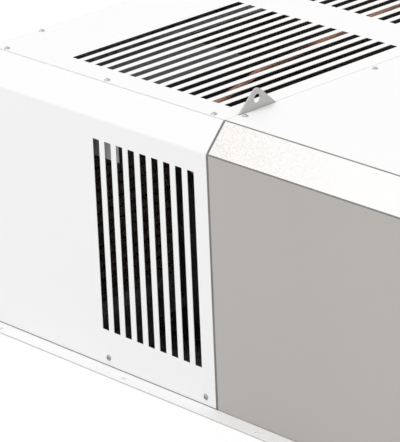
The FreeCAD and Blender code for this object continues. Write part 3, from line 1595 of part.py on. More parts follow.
def return_bend(first, last, side):
    """U-bend between two tube ends on an end plate."""
    start = Vector(float(first[0]), float(END_PLATE_Y) * side, float(first[1]))
    end = Vector(float(last[0]), float(END_PLATE_Y) * side, float(last[1]))
    outward = Vector(0, side, 0)
    sideways = (end - start).normalize()
    across = sideways.cross(outward)
    centre = (start + end) * 0.5
    reach = (end - start).Length / 2
    radius = float(S.cooler_tube) / 2
    rings = []
    for turn in range(0, 181, count_of(S.pipe_turn) * 2):
        angle = math.radians(turn)
        inward = sideways * -math.cos(angle) + outward * math.sin(angle)
        rings.append(ring_about(centre + inward * reach, across, inward, radius, count_of(S.pipe_sides)))
    return shaped(skin(rings))


def evaporator_coil():
    """Fin pack, its two end plates and the circuits' return bends and inlet stubs."""
    pack = box(
        COOLER_X, -COOLER_HALF, S.cooler_foot,
        COOLER_DEEP, COOLER_HALF * 2, COOLER_HIGH,
    )
    node(pack, "evaporator_fins")
    pieces = []
    over = S.cooler_end_over
    plate_foot = S.insulation + S.drip_pan_sheet
    for y in (-END_PLATE_Y, COOLER_HALF):
        pieces.append(
            box(
                COOLER_X - over, y, plate_foot,
                COOLER_DEEP + over * 2, S.cooler_end_sheet,
                S.cooler_foot + COOLER_HIGH + over - plate_foot,
            )
        )
    columns = count_of(S.cooler_rows)
    for low in range(0, count_of(S.cooler_tube_count) - 1, 2):
        visits = [(column, low) for column in range(columns)]
        visits += [(column, low + 1) for column in reversed(range(columns))]
        ends = [(tube_x(column), tube_z(row)) for column, row in visits]
        for number in range(len(ends) - 1):
            side = REAR if number % 2 else FRONT
            pieces.append(return_bend(ends[number], ends[number + 1], side))
        pieces.append(
            prism(
                tube_x(0), END_PLATE_Y, tube_z(low),
                S.cooler_tube, S.inlet_stub_long, S.pipe_sides, ALONG_Y,
            )
        )
    node(group(pieces), "evaporator_tubes")


def expansion_valve():
    """Valve with its power head and distributor, and one capillary to each circuit."""
    head_up = VALVE_TOP - S.valve_high / 2
    body = prism(VALVE_X, VALVE_Y, VALVE_FOOT, S.valve_body, S.valve_high, 6)
    neck = prism(
        VALVE_X, VALVE_Y, head_up, S.valve_neck, S.valve_reach, S.pipe_sides, AGAINST_Y,
    )
    head = prism(
        VALVE_X, VALVE_Y - S.valve_reach, head_up,
        S.valve_head, S.valve_head_thick, S.vessel_sides / 2, AGAINST_Y,
    )
    distributor = turned_skin(
        [(0, S.valve_body * 2 / 3), (S.distributor_long, S.valve_body / 3)], S.vessel_sides / 2,
    )
    distributor = place(shaped(distributor), VALVE_X, VALVE_Y, VALVE_FOOT - S.distributor_long)
    start = (VALVE_X, VALVE_Y, VALVE_FOOT - S.distributor_long / 2)
    stub_end = END_PLATE_Y + S.inlet_stub_long + S.capillary
    capillaries = []
    for low in range(0, count_of(S.cooler_tube_count) - 1, 2):
        end = (tube_x(0), stub_end, tube_z(low))
        capillaries.append(shaped(tube([start, end], S.capillary, 0)))
    return node(fused(body, neck, head, distributor, *capillaries), "expansion_valve")


def drain_pan():
    """Pan under the coil with its drain spigot, which leaves through the rear wall."""
    left = DRAIN_X - S.drip_pan_long / 2
    right = DRAIN_X + S.drip_pan_long / 2
    half = PAN_HALF
    body = tray(
        "drain_pan", left, right, -half, half, S.insulation, S.drip_pan_high, S.drip_pan_sheet,
    )
    spigot = new_sketch(body, "XZ_Plane", -half)
    add_circle(spigot, DRAIN_X, DRAIN_Z, S.drain_pipe / 2)
    body.Tip = add_pad(body, spigot, HALF_WIDTH + S.drain_out - half, backwards=True)
    bore = new_sketch(body, "XZ_Plane", S.drip_pan_sheet * 2 - half)
    add_circle(bore, DRAIN_X, DRAIN_Z, S.drain_bore / 2)
    body.Tip = cut_down(body, bore, HALF_WIDTH + S.drain_out, backwards=False)
    return node(body, "drain_pan")


def defrost_heaters():
    """Heater rods across the coil's inlet face, held between its end plates."""
    rods = []
    count = count_of(S.heater_count)
    x = COOLER_X + COOLER_DEEP + S.cooler_end_over / 2
    for number in range(count):
        z = S.cooler_foot + COOLER_HIGH * (number + 0.5) / count
        rods.append(
            prism(
                x, -COOLER_HALF, z,
                S.heater_diameter, COOLER_HALF * 2, S.pipe_sides, ALONG_Y,
            )
        )
    return node(group(rods), "defrost_heaters")


# Electrical gear


def electrical_box():
    """Open-topped sheet box on two channel posts that stand on the floor pan."""
    body = tray(
        "electrical_box", BOX_LEFT, BOX_RIGHT, BOX_NEAR, BOX_FAR, BOX_FOOT,
        S.box_high, S.box_sheet,
    )
    posts = new_sketch(body, "XY_Plane", S.floor_sheet)
    wall = S.post_wall
    right = BOX_LEFT + S.post_deep
    for low in (BOX_NEAR + wall, BOX_FAR - S.post_wide - wall):
        high = low + S.post_wide
        add_outline(posts, [
            (BOX_LEFT, low), (right, low), (right, low + wall), (BOX_LEFT + wall, low + wall),
            (BOX_LEFT + wall, high - wall), (right, high - wall), (right, high), (BOX_LEFT, high),
        ])
    body.Tip = add_pad(body, posts, BOX_FOOT - S.floor_sheet)
    return node(body, "electrical_box")


def electrical_box_lid():
    """Lid with turned edges that hang round the box's walls."""
    body = new_body("electrical_box_lid")
    over = S.box_sheet + S.fit
    foot = BOX_TOP - S.lid_lip
    outside = new_sketch(body, "XY_Plane", foot)
    add_rectangle(outside, BOX_LEFT - over, BOX_NEAR - over, BOX_RIGHT + over, BOX_FAR + over)
    add_pad(body, outside, S.lid_lip + S.box_sheet)
    inside = new_sketch(body, "XY_Plane", foot)
    fit = S.fit
    add_rectangle(inside, BOX_LEFT - fit, BOX_NEAR - fit, BOX_RIGHT + fit, BOX_FAR + fit)
    body.Tip = cut_down(body, inside, S.lid_lip, backwards=True)
    return node(body, "electrical_box_lid")


def contactors():
    """Contactors with stepped fronts on one mounting rail along the box."""
    middle = (BOX_LEFT + BOX_RIGHT) / 2
    rail_foot = BOX_FOOT + S.box_sheet
    rail = box(
        middle - S.mount_rail_wide / 2, BOX_NEAR + S.rail_end_room, rail_foot,
        S.mount_rail_wide, S.box_deep - S.rail_end_room * 2, S.mount_rail_deep,
    )
    pieces = [rail]
    pitch = S.relay_wide + S.relay_gap
    count = count_of(S.relay_count)
    first = (BOX_NEAR + BOX_FAR) / 2 - (pitch * count - S.relay_gap) / 2
    foot = rail_foot + S.mount_rail_deep
    step = S.relay_deep / 2
    for number in range(count):
        y = first + pitch * number
        base = box(middle - S.relay_high / 2, y, foot, S.relay_high, S.relay_wide, step)
        front = box(
            middle - S.relay_high / 3, y, foot, S.relay_high * 2 / 3, S.relay_wide, S.relay_deep,
        )
        pieces.append(fused(base, front))
    return node(group(pieces), "contactors")


def main_switch():
    """Switch through the end panel: front plate outside, body inside, bored for the spindle."""
    up = S.switch_up
    plate_x = LEFT_FACE - S.switch_plate_thick
    plate = box(
        plate_x, -S.switch_plate / 2, up - S.switch_plate / 2,
        S.switch_plate_thick, S.switch_plate, S.switch_plate,
    )
    neck = rod(LEFT_FACE, 0, up, S.switch_neck, S.casing_sheet, ALONG_X)
    back = box(
        LEFT_FACE + S.casing_sheet, -S.switch_body / 2, up - S.switch_body / 2,
        S.switch_body_deep, S.switch_body, S.switch_body,
    )
    bore_wide = S.spindle + S.shaft_clear * 2
    bore = rod(plate_x, 0, up, bore_wide, S.spindle_long + S.fit, ALONG_X)
    return node(without(fused(plate, neck, back), bore), "main_switch")


def main_switch_knob():
    face = LEFT_FACE - S.switch_plate_thick - S.fit
    up = S.switch_up
    disc = prism(face, 0, up, S.knob_diameter, S.knob_deep, S.vessel_sides, AGAINST_X)
    grip = box(
        face - S.knob_deep - S.knob_grip_high, -S.knob_grip_wide / 2,
        up - S.knob_grip_long / 2, S.knob_grip_high, S.knob_grip_wide, S.knob_grip_long,
    )
    spindle = rod(face, 0, up, S.spindle, S.spindle_long, ALONG_X)
    return node(fused(disc, grip, spindle), "main_switch_knob")


def cable_glands():
    """Hexagon glands with round caps and locknuts, bored for the cable."""
    glands = []
    cap_x = LEFT_FACE - S.gland_collar
    inside = LEFT_FACE + S.casing_sheet
    whole = S.gland_cap_deep + S.gland_collar + S.casing_sheet + S.gland_inside
    for side in (FRONT, REAR):
        y = S.gland_spread / 2 * side
        up = S.gland_up
        collar = prism(LEFT_FACE, y, up, S.gland_across, S.gland_collar, 6, AGAINST_X)
        cap = prism(cap_x, y, up, S.gland_cap, S.gland_cap_deep, S.vessel_sides / 2, AGAINST_X)
        thread = prism(
            LEFT_FACE, y, up, S.gland_thread, S.casing_sheet, S.vessel_sides / 2, ALONG_X,
        )
        locknut = prism(inside, y, up, S.gland_across, S.gland_inside, 6, ALONG_X)
        bore = rod(cap_x - S.gland_cap_deep, y, up, S.gland_bore, whole, ALONG_X)
        glands.append(without(fused(collar, cap, thread, locknut), bore))
    return node(group(glands), "cable_glands")


def pressure_switch():
    """Switch on the bulkhead's condenser side, with the well of its reset button."""
    case = box(
        SWITCH_FACE, SWITCH_Y - S.switch_box_wide / 2, S.switch_box_up,
        S.switch_box_deep, S.switch_box_wide, S.switch_box_high,
    )
    well = rod(
        SWITCH_FACE, SWITCH_Y, RESET_Z,
        S.reset_diameter + S.reset_clear * 2, S.reset_well, ALONG_X,
    )
    return node(without(case, well), "pressure_switch")


def reset_button():
    long = S.reset_out + S.reset_well - S.reset_travel - S.reset_rest
    button = rod(SWITCH_FACE - S.reset_out, SWITCH_Y, RESET_Z, S.reset_diameter, long, ALONG_X)
    return node(button, "reset_button")


def check_and_write():
    """Check every feature and every sub-part, then write one file for each sub-part."""
    DOCUMENT.recompute()
    faults = []
    for item in DOCUMENT.Objects:
        if "Invalid" in item.State or "Error" in item.State:
            faults.append(f"{item.Name} is {item.State}")
        if item.TypeId == "PartDesign::Pocket":
            removed = item.BaseFeature.Shape.Volume - item.Shape.Volume
            if removed < TINY:
                faults.append(f"{item.Name} cuts nothing")
    for item in NODES:
        shape = item.Shape
        if shape.isNull() or not shape.isValid() or shape.Volume < TINY:
            faults.append(f"{item.Label} has no valid shape")
    if faults:
        raise RuntimeError("; ".join(faults))
    os.makedirs("parts", exist_ok=True)
    for item in NODES:
        item.Shape.exportStep(os.path.join("parts", f"{item.Label}.step"))
    print(f"{len(NODES)} sub-parts written")


def build_base():
    long_rail("base_rail_front", FRONT)
    long_rail("base_rail_rear", REAR)
    end_rail("base_rail_left", LEFT)
    end_rail("base_rail_right", RIGHT)
    condenser_floor_pan()
    evaporator_floor()


def build_casing():
    side_panel("side_panel_front", FRONT)
    side_panel("side_panel_rear", REAR)
    condenser_end_panel()
    top_panel()
    partition_plate()
    end_lifting_bar()
    evaporator_side_panel("evaporator_panel_front", FRONT)
    evaporator_side_panel("evaporator_panel_rear", REAR)
    evaporator_end_panel()
    corner_strip("corner_strip_front", FRONT)
    corner_strip("corner_strip_rear", REAR)
    panel_seals()
    evaporator_top_cover()
    insulation()
    casing_screws()


def build_condensing_section():
    fan_rings(
        "condenser_fan_rings", LEFT_FACE + S.casing_sheet,
        S.condenser_fan_spread, S.condenser_fan_up,
    )
    condenser_coil()
    condenser_headers()
    condenser_channels()
    fan_pair(
        "condenser", LEFT_FACE, S.condenser_fan_spread, S.condenser_fan_up, "guards", True,
    )
    compressor_shell()
    compressor_terminal_cover()
    compressor_feet()
    liquid_receiver()
    filter_drier()
    sight_glass()
    discharge_line()
    liquid_line()
    suction_line()
    pipe_grommet()
    pressure_switch()
    reset_button()
    electrical_box()
    electrical_box_lid()
    contactors()
    main_switch()
    main_switch_knob()
    cable_glands()


def build_evaporator_section():
    evaporator_fan_plate()
    fan_rings(
        "evaporator_fan_rings", FAN_PLATE + S.fan_plate_sheet,
        S.evaporator_fan_spread, S.evaporator_fan_up,
    )
    fan_pair(
        "evaporator", FAN_PLATE, S.evaporator_fan_spread, S.evaporator_fan_up, "mounts", False,
    )
    evaporator_coil()
    expansion_valve()
    drain_pan()
    defrost_heaters()


build_base()
build_casing()
build_condensing_section()
build_evaporator_section()
check_and_write()
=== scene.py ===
"""Looks of the roof-top monoblock refrigeration unit, in metres, in the frame of its solids."""

import json
import math

import bmesh
import bpy
from mathutils import Matrix, Vector


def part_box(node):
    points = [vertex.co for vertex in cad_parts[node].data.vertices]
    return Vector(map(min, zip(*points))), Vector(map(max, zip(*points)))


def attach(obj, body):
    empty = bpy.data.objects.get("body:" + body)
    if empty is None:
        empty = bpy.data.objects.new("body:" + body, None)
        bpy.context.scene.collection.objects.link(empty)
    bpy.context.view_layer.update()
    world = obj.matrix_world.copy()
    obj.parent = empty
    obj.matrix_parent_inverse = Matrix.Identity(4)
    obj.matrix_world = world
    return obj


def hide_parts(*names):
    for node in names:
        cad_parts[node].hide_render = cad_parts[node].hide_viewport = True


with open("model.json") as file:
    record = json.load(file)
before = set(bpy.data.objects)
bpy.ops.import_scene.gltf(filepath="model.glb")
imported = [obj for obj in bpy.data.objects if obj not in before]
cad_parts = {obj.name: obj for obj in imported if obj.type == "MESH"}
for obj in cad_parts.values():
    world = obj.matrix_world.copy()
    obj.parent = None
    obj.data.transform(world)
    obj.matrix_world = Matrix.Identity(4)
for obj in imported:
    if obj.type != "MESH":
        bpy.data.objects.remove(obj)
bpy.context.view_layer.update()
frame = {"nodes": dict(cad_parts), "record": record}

X = Vector((1, 0, 0))
Y = Vector((0, 1, 0))
Z = Vector((0, 0, 1))
FRONT, REAR = -1, 1
SIDES = (("front", FRONT), ("rear", REAR))

# Places of the unit, as its solids have them
LEFT_FACE = -0.895
RIGHT_FACE = 0.895
BULKHEAD = -0.285
HALF_WIDTH = 0.558
TOP = 0.526
BEAD_FOOT, BEAD_HEAD = 0.0025, 0.0036  # sealant along the feet of the panels
CONDENSER_FAN = (-0.895, 0.270, 0.250)  # face of the sheet, and the rear fan's axis
EVAPORATOR_FAN = (0.093, 0.240, 0.262)
GUARD_STAND = 0.012  # from that face out to the motors
HEADER_X, HEADER_Y = -0.761, 0.508
SWITCH = (LEFT_FACE, 0, 0.250)
COMPRESSOR = Vector((-0.470, -0.300, 0.027))
RECEIVER = Vector((-0.615, 0.060, 0.016))
DRIER = Vector((-0.540, 0.060, 0.060))
GLASS = Vector((-0.375, 0.060, 0.060))
VALVE = Vector((0.231, 0.447, 0.280))
COAT_REACH = 0.0007  # how deep the white coat goes into the slots; deeper in, their walls take the painted shade


# Materials


MIX_FACTOR, MIX_COLOURS, MIX_RESULT = 0, (6, 7), 2  # sockets of a Mix node that mixes colours


class Finish:
    """A node material under construction."""

    def __init__(self, name, rough, metal=0.0, coat=0.0):
        self.material = bpy.data.materials.new(name)
        self.material.use_nodes = True
        self.nodes = self.material.node_tree.nodes
        self.links = self.material.node_tree.links
        self.shader = self.nodes["Principled BSDF"]
        self.shader.inputs["Roughness"].default_value = rough
        self.shader.inputs["Metallic"].default_value = metal
        self.shader.inputs["Coat Weight"].default_value = coat
        self.place = self.nodes.new("ShaderNodeTexCoord").outputs["Object"]

    def node(self, kind, **settings):
        made = self.nodes.new(kind)
        for name, value in settings.items():
            setattr(made, name, value)
        return made

    def link(self, source, target):
        self.links.new(source, target)

    def stretched(self, along, across, up):
        """Object coordinates drawn out or packed along the axes."""
        mapping = self.node("ShaderNodeMapping")
        mapping.inputs["Scale"].default_value = (along, across, up)
        self.link(self.place, mapping.inputs["Vector"])
        return mapping.outputs["Vector"]

    def noise(self, scale, detail=4.0, rough=0.5, place=None):
        made = self.node("ShaderNodeTexNoise")
        made.inputs["Scale"].default_value = scale
        made.inputs["Detail"].default_value = detail
        made.inputs["Roughness"].default_value = rough
        self.link(place or self.place, made.inputs["Vector"])
        return made.outputs["Fac"]

    def cells(self, scale):
        made = self.node("ShaderNodeTexVoronoi")
        made.inputs["Scale"].default_value = scale
        self.link(self.place, made.inputs["Vector"])
        return made.outputs

    def ramp(self, source, stops):
        """Colours or greys along a 0 to 1 signal."""
        made = self.node("ShaderNodeValToRGB")
        elements = made.color_ramp.elements
        while len(elements) < len(stops):
            elements.new(0.5)
        for element, (position, colour) in zip(elements, stops):
            element.position = position
            if not isinstance(colour, tuple):
                colour = (colour, colour, colour)
            element.color = (*colour, 1.0)
        self.link(source, made.inputs["Fac"])
        return made.outputs["Color"]

    def mixed(self, factor, *colours):
        """Two colours, each a value or a signal, mixed by a signal."""
        made = self.node("ShaderNodeMix", data_type="RGBA")
        self.link(factor, made.inputs[MIX_FACTOR])
        for socket, colour in zip(MIX_COLOURS, colours):
            if isinstance(colour, tuple):
                made.inputs[socket].default_value = (*colour, 1.0)
            else:
                self.link(colour, made.inputs[socket])
        return made.outputs[MIX_RESULT]

    def colour(self, source):
        self.link(source, self.shader.inputs["Base Color"])

    def roughness(self, source, low, high):
        made = self.node("ShaderNodeMapRange")
        made.inputs["To Min"].default_value = low
        made.inputs["To Max"].default_value = high
        self.link(source, made.inputs["Value"])
        self.link(made.outputs["Result"], self.shader.inputs["Roughness"])

    def bump(self, *layers):
        """Heights, each with its strength and its depth in metres, one on the other."""
        normal = None
        for source, strength, depth in layers:
            made = self.node("ShaderNodeBump")
            made.inputs["Strength"].default_value = strength
            made.inputs["Distance"].default_value = depth
            self.link(source, made.inputs["Height"])
            if normal is not None:
                self.link(normal, made.inputs["Normal"])
            normal = made.outputs["Normal"]
        self.link(normal, self.shader.inputs["Normal"])


def powder_coat(name, pale, shade, rough):
    """Baked powder coat: a slight drift of tone, a fine orange peel and a satin gloss."""
    look = Finish(name, rough)
    grain, depth = 520.0, 0.00008
    drift = look.noise(2.3, detail=3.0)
    tone = look.ramp(drift, [(0.3, shade), (0.7, pale)])
    fleck = look.noise(grain * 2.2, detail=2.0)
    look.colour(look.mixed(look.ramp(fleck, [(0.30, 0.10), (0.62, 0.0)]), tone, shade))
    peel = look.noise(grain, detail=3.0)
    look.roughness(peel, rough - 0.07, rough + 0.08)
    look.bump((peel, 0.35, depth))
    return look.material


def highlit_speckled_coat(name, pale, speck, start, end):
    """The chamfer strip's coat: the grey coat painted pale as lit by the top light, with fine
    specks that thin out away from the bulkhead as a painted highlight.
    """
    look = Finish(name, 0.5)
    specks = look.noise(380.0, detail=2.0, rough=0.6)
    split = look.node("ShaderNodeSeparateXYZ")
    look.link(look.place, split.inputs["Vector"])
    # Painted highlight: fewer specks towards +X, where the highlight washes them out
    highlight_fade = look.node("ShaderNodeMapRange")
    highlight_fade.inputs["From Min"].default_value = start
    highlight_fade.inputs["From Max"].default_value = end
    highlight_fade.inputs["To Min"].default_value = 1.0
    highlight_fade.inputs["To Max"].default_value = 0.08
    look.link(split.outputs["X"], highlight_fade.inputs["Value"])
    dots = look.ramp(specks, [(0.34, 0.8), (0.52, 0.0)])
    amount = look.mixed(highlight_fade.outputs["Result"], (0.0, 0.0, 0.0), dots)
    look.colour(look.mixed(amount, pale, speck))
    look.bump((specks, 0.5, 0.00012))
    look.roughness(specks, 0.42, 0.6)
    return look.material


def galvanised(name, pale, dark, rough=0.42):
    """Hot-dip zinc sheet with its spangle."""
    look = Finish(name, rough, metal=0.85)
    crystal = look.cells(70.0)["Color"]
    grey = look.node("ShaderNodeSeparateColor")
    look.link(crystal, grey.inputs["Color"])
    spangle = look.ramp(grey.outputs[0], [(0.0, dark), (1.0, pale)])
    cloud = look.noise(6.0, detail=5.0)
    look.colour(look.mixed(look.ramp(cloud, [(0.35, 0.0), (0.7, 0.5)]), spangle, dark))
    look.roughness(grey.outputs[0], rough - 0.1, rough + 0.12)
    look.bump((look.noise(240.0), 0.12, 0.0001))
    return look.material


def metal(name, pale, dark, rough, streak=(1, 1, 1), scale=90.0):
    """Bare drawn or machined metal: fine streaks, slight tarnish."""
    look = Finish(name, rough, metal=1.0)
    streaks = look.noise(scale, detail=6.0, rough=0.6, place=look.stretched(*streak))
    tarnish = look.noise(24.0, detail=4.0)
    bright = look.ramp(streaks, [(0.3, dark), (0.7, pale)])
    look.colour(look.mixed(look.ramp(tarnish, [(0.45, 0.0), (0.8, 0.6)]), bright, dark))
    look.roughness(streaks, rough - 0.08, rough + 0.12)
    look.bump((streaks, 0.15, 0.00005))
    return look.material


def enamel(name, pale, dark, rough):
    """Stoved enamel over a slightly uneven steel shell."""
    look = Finish(name, rough, coat=0.25)
    cloud = look.noise(14.0, detail=4.0)
    look.colour(look.ramp(cloud, [(0.3, dark), (0.75, pale)]))
    peel = look.noise(300.0, detail=3.0)
    look.roughness(cloud, rough - 0.06, rough + 0.14)
    look.bump((peel, 0.25, 0.0001), (cloud, 0.2, 0.0004))
    return look.material


def moulded(name, pale, dark, rough, grain=900.0):
    """Moulded plastic or rubber with a fine spark-eroded grain."""
    look = Finish(name, rough)
    cloud = look.noise(30.0, detail=3.0)
    look.colour(look.ramp(cloud, [(0.3, dark), (0.7, pale)]))
    skin = look.noise(grain, detail=2.0)
    look.roughness(skin, rough - 0.08, rough + 0.1)
    look.bump((skin, 0.3, 0.00006))
    return look.material


def foam_board(name, pale, dark):
    """Rigid foam with its fine cells."""
    look = Finish(name, 0.85)
    distance = look.cells(420.0)["Distance"]
    cloud = look.noise(11.0, detail=4.0)
    look.colour(look.ramp(cloud, [(0.3, dark), (0.75, pale)]))
    look.bump((distance, 0.4, 0.0004), (cloud, 0.3, 0.0006))
    return look.material


def sealing_bead(name, pale, dark):
    """Sealant drawn out along the unit, slightly rippled."""
    look = Finish(name, 0.55)
    ripple = look.noise(60.0, detail=3.0, place=look.stretched(1.0, 0.2, 0.2))
    look.colour(look.ramp(ripple, [(0.3, dark), (0.7, pale)]))
    look.bump((ripple, 0.5, 0.0004))
    return look.material


WHITE = powder_coat("white_powder_coat", (0.922, 0.922, 0.922), (0.912, 0.912, 0.912), 0.46)
# Painted shade: a dark brown coat on the sheets' inner faces, the slot walls and the box posts,
# standing in for the shade inside the casing
SHADE_INSIDE = powder_coat("painted_shade_inside", (0.085, 0.074, 0.066), (0.068, 0.059, 0.053), 0.55)
GREY = powder_coat("warm_grey_powder_coat", (0.478, 0.450, 0.430), (0.462, 0.434, 0.414), 0.48)
# Painted highlight: the grey chamfer painted near white, as lit from above
LIT_CHAMFER = highlit_speckled_coat(
    "speckled_chamfer_painted_highlight", (0.925, 0.922, 0.915), (0.66, 0.57, 0.50), BULKHEAD, 0.02)
LUG = powder_coat("lug_plate_coat", (0.53, 0.525, 0.52), (0.50, 0.495, 0.49), 0.45)
BEAD = sealing_bead("grey_sealing_bead", (0.24, 0.235, 0.225), (0.19, 0.185, 0.18))
JOINT_BEAD = sealing_bead("dark_joint_sealant", (0.215, 0.205, 0.197), (0.160, 0.154, 0.149))
FOOT_BEAD = sealing_bead("dark_foot_sealant", (0.10, 0.10, 0.10), (0.06, 0.06, 0.06))
GREY_FOOT_BEAD = sealing_bead("grey_foot_sealant", (0.33, 0.31, 0.295), (0.27, 0.255, 0.24))
PALE_BEAD = sealing_bead("pale_seam_sealant", (0.80, 0.80, 0.79), (0.75, 0.75, 0.74))
CUT_EDGE = powder_coat("sheared_edge_coat", (0.62, 0.62, 0.61), (0.55, 0.55, 0.54), 0.5)
FOAM = foam_board("cream_rigid_foam", (0.84, 0.77, 0.58), (0.74, 0.66, 0.47))
FOAM_SKIN = powder_coat("coated_floor_skin", (0.84, 0.84, 0.82), (0.80, 0.80, 0.78), 0.5)
ZINC = galvanised("spangled_zinc", (0.62, 0.63, 0.63), (0.44, 0.45, 0.46))
DARK_ZINC = galvanised("dull_zinc_pan", (0.36, 0.355, 0.345), (0.22, 0.217, 0.21), 0.5)
SCREW = metal("zinc_plated_screw", (0.46, 0.46, 0.455), (0.30, 0.30, 0.30), 0.30, scale=400.0)
# Painted light: a paler copy of the screw zinc for the heads on the top, as lit from above
LIT_TOP_SCREW = metal("painted_light_zinc_screw", (0.56, 0.56, 0.555), (0.44, 0.44, 0.44), 0.36, scale=400.0)
BOX_COAT = powder_coat("light_grey_box_coat", (0.70, 0.70, 0.69), (0.66, 0.66, 0.65), 0.45)
# Painted shade: the switch box lid painted near black, standing in for the shade seen through the
# top slots
SHADED_BOX_LID = powder_coat("painted_shade_lid_coat", (0.040, 0.040, 0.042), (0.03, 0.03, 0.031), 0.42)
FIN = metal("aluminium_fin", (0.66, 0.67, 0.68), (0.48, 0.49, 0.50), 0.38, streak=(1, 1, 20))
# Painted shade: the condenser coil's fins, flat tubes and headers in a dark brown, standing in for
# the shade inside the casing
SHADE_DARK_FIN = moulded("painted_shade_fin", (0.320, 0.280, 0.250), (0.270, 0.236, 0.210), 0.5)
COIL_TUBE = metal(
    "shade_dark_flat_tube", (0.180, 0.158, 0.142), (0.140, 0.123, 0.111), 0.5, streak=(1, 0.1, 1))
COPPER = metal("dulled_copper", (0.66, 0.36, 0.25), (0.50, 0.25, 0.17), 0.33, scale=130.0)
BRASS = metal("forged_brass", (0.80, 0.64, 0.32), (0.52, 0.38, 0.17), 0.32, scale=150.0)
BLACK_SHELL = enamel("black_stove_enamel", (0.030, 0.030, 0.032), (0.016, 0.016, 0.018), 0.36)
GREY_SHELL = enamel("grey_vessel_enamel", (0.12, 0.12, 0.12), (0.085, 0.085, 0.085), 0.42)
BLACK = moulded("glass_filled_black", (0.032, 0.032, 0.034), (0.018, 0.018, 0.02), 0.5)
GREY_PLASTIC = moulded("light_grey_moulding", (0.46, 0.47, 0.47), (0.40, 0.41, 0.41), 0.48)
RED = moulded("red_moulding", (0.62, 0.035, 0.03), (0.50, 0.025, 0.02), 0.36)
YELLOW = moulded("yellow_moulding", (0.80, 0.58, 0.05), (0.70, 0.48, 0.03), 0.42)
RUBBER = moulded("black_rubber", (0.024, 0.024, 0.024), (0.014, 0.014, 0.014), 0.75, grain=500.0)
MOTOR = enamel("black_motor_casting", (0.045, 0.045, 0.047), (0.025, 0.025, 0.026), 0.5)
WIRE = enamel("black_coated_wire", (0.030, 0.030, 0.032), (0.018, 0.018, 0.02), 0.35)
HEATER = metal("heater_sheath", (0.46, 0.44, 0.41), (0.28, 0.27, 0.25), 0.35, streak=(1, 20, 1))
GLASS_EYE = enamel("sight_glass_eye", (0.10, 0.32, 0.14), (0.06, 0.22, 0.09), 0.08)


# Making and finishing pieces


BODY_OF = {
    node: body
    for body, members in frame["record"]["behaviour"]["bodies"].items()
    for node in members
}
SLOT_OF = {row["node"]: row["material_slot"] for row in frame["record"]["subparts"]}


def made_piece(work, name, materials, node, slot, sharp=38.0, smooth=True):
    """Turn a bmesh into a piece that rides with the body of a solid."""
    for face in work.faces:
        face.smooth = smooth
    for edge in work.edges:
        edge.smooth = edge.calc_face_angle(math.pi) < math.radians(sharp)
    mesh = bpy.data.meshes.new(name)
    work.to_mesh(mesh)
    work.free()
    for material in materials if isinstance(materials, (list, tuple)) else [materials]:
        mesh.materials.append(material)
    piece = bpy.data.objects.new(name, mesh)
    bpy.context.scene.collection.objects.link(piece)
    if smooth:
        shading = piece.modifiers.new("even_shading", "WEIGHTED_NORMAL")
        shading.keep_sharp = True
    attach(piece, BODY_OF[node])
    return piece


def finish(work, name, materials, node, sharp=38.0, smooth=True):
    """A piece that stands for a solid, which it hides."""
    piece = made_piece(work, name, materials, node, SLOT_OF[node], sharp, smooth)
    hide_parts(node)
    return piece


def copied(node):
    """A merged copy of a solid's mesh, with its flat faces made whole."""
    work = bmesh.new()
    work.from_mesh(frame["nodes"][node].data)
    bmesh.ops.remove_doubles(work, verts=work.verts, dist=0.00001)
    bmesh.ops.dissolve_limit(
        work, angle_limit=math.radians(0.6), verts=work.verts, edges=work.edges,
        use_dissolve_boundaries=False, delimit=set(),
    )
    return work


def cut_across(work, place, way, clear=False):
    """Cut a shape by a plane and return the edges of the cut."""
    cut = bmesh.ops.bisect_plane(
        work, geom=work.verts[:] + work.edges[:] + work.faces[:], dist=0.0000001,
        plane_co=place, plane_no=way, clear_outer=clear,
    )
    return [item for item in cut["geom_cut"] if isinstance(item, bmesh.types.BMEdge)]


def rounded(work, edges, radius, segments):
    bmesh.ops.bevel(
        work, geom=edges, offset=radius, offset_type="OFFSET", segments=segments, profile=0.5,
        affect="EDGES", clamp_overlap=True, material=-1, loop_slide=True,
    )


def sharp_edges(work, least=30.0):
    limit = math.radians(least)
    return [edge for edge in work.edges if edge.calc_face_angle(0.0) > limit]


def long_folds(work, least=0.3):
    """Edges of the folds that run along the unit."""
    found = []
    for edge in work.edges:
        run = edge.verts[1].co - edge.verts[0].co
        if run.length > least and abs(run.x) > 0.999 * run.length:
            turn = edge.calc_face_angle(0.0)
            if math.radians(25) < turn < math.radians(70):
                found.append(edge)
    return found


def eased(node, name, materials, radius=0.00035, segments=2, fold=None, paint=None, cut=None):
    """A solid's own shape with eased edges, rounded long folds and a coat cut along a plane."""
    work = copied(node)
    if fold:
        rounded(work, long_folds(work), fold, 5)
    rounded(work, sharp_edges(work), radius, segments)
    if cut:
        cut_across(work, *cut)
    if paint:
        for face in work.faces:
            face.material_index = paint(face)
    return finish(work, name, materials, node)


def turned(profile, steps=48, loop=False):
    """A shape turned about X. The profile is pairs of place along X and radius, in millimetres."""
    work = bmesh.new()
    verts = [work.verts.new((along * 0.001, 0, radius * 0.001)) for along, radius in profile]
    pairs = list(zip(verts, verts[1:]))
    if loop:
        pairs.append((verts[-1], verts[0]))
    edges = [work.edges.new(pair) for pair in pairs]
    bmesh.ops.spin(
        work, geom=verts + edges, cent=(0, 0, 0), axis=(1, 0, 0), dvec=(0, 0, 0),
        angle=math.tau, steps=steps, use_merge=True, use_duplicate=False,
    )
    bmesh.ops.remove_doubles(work, verts=work.verts, dist=0.000002)
    bmesh.ops.recalc_face_normals(work, faces=work.faces)
    return work


def bar(radius, start, end, steps=24):
    """A plain round bar about X, in millimetres."""
    return turned([(start, 0), (start, radius), (end, radius), (end, 0)], steps)


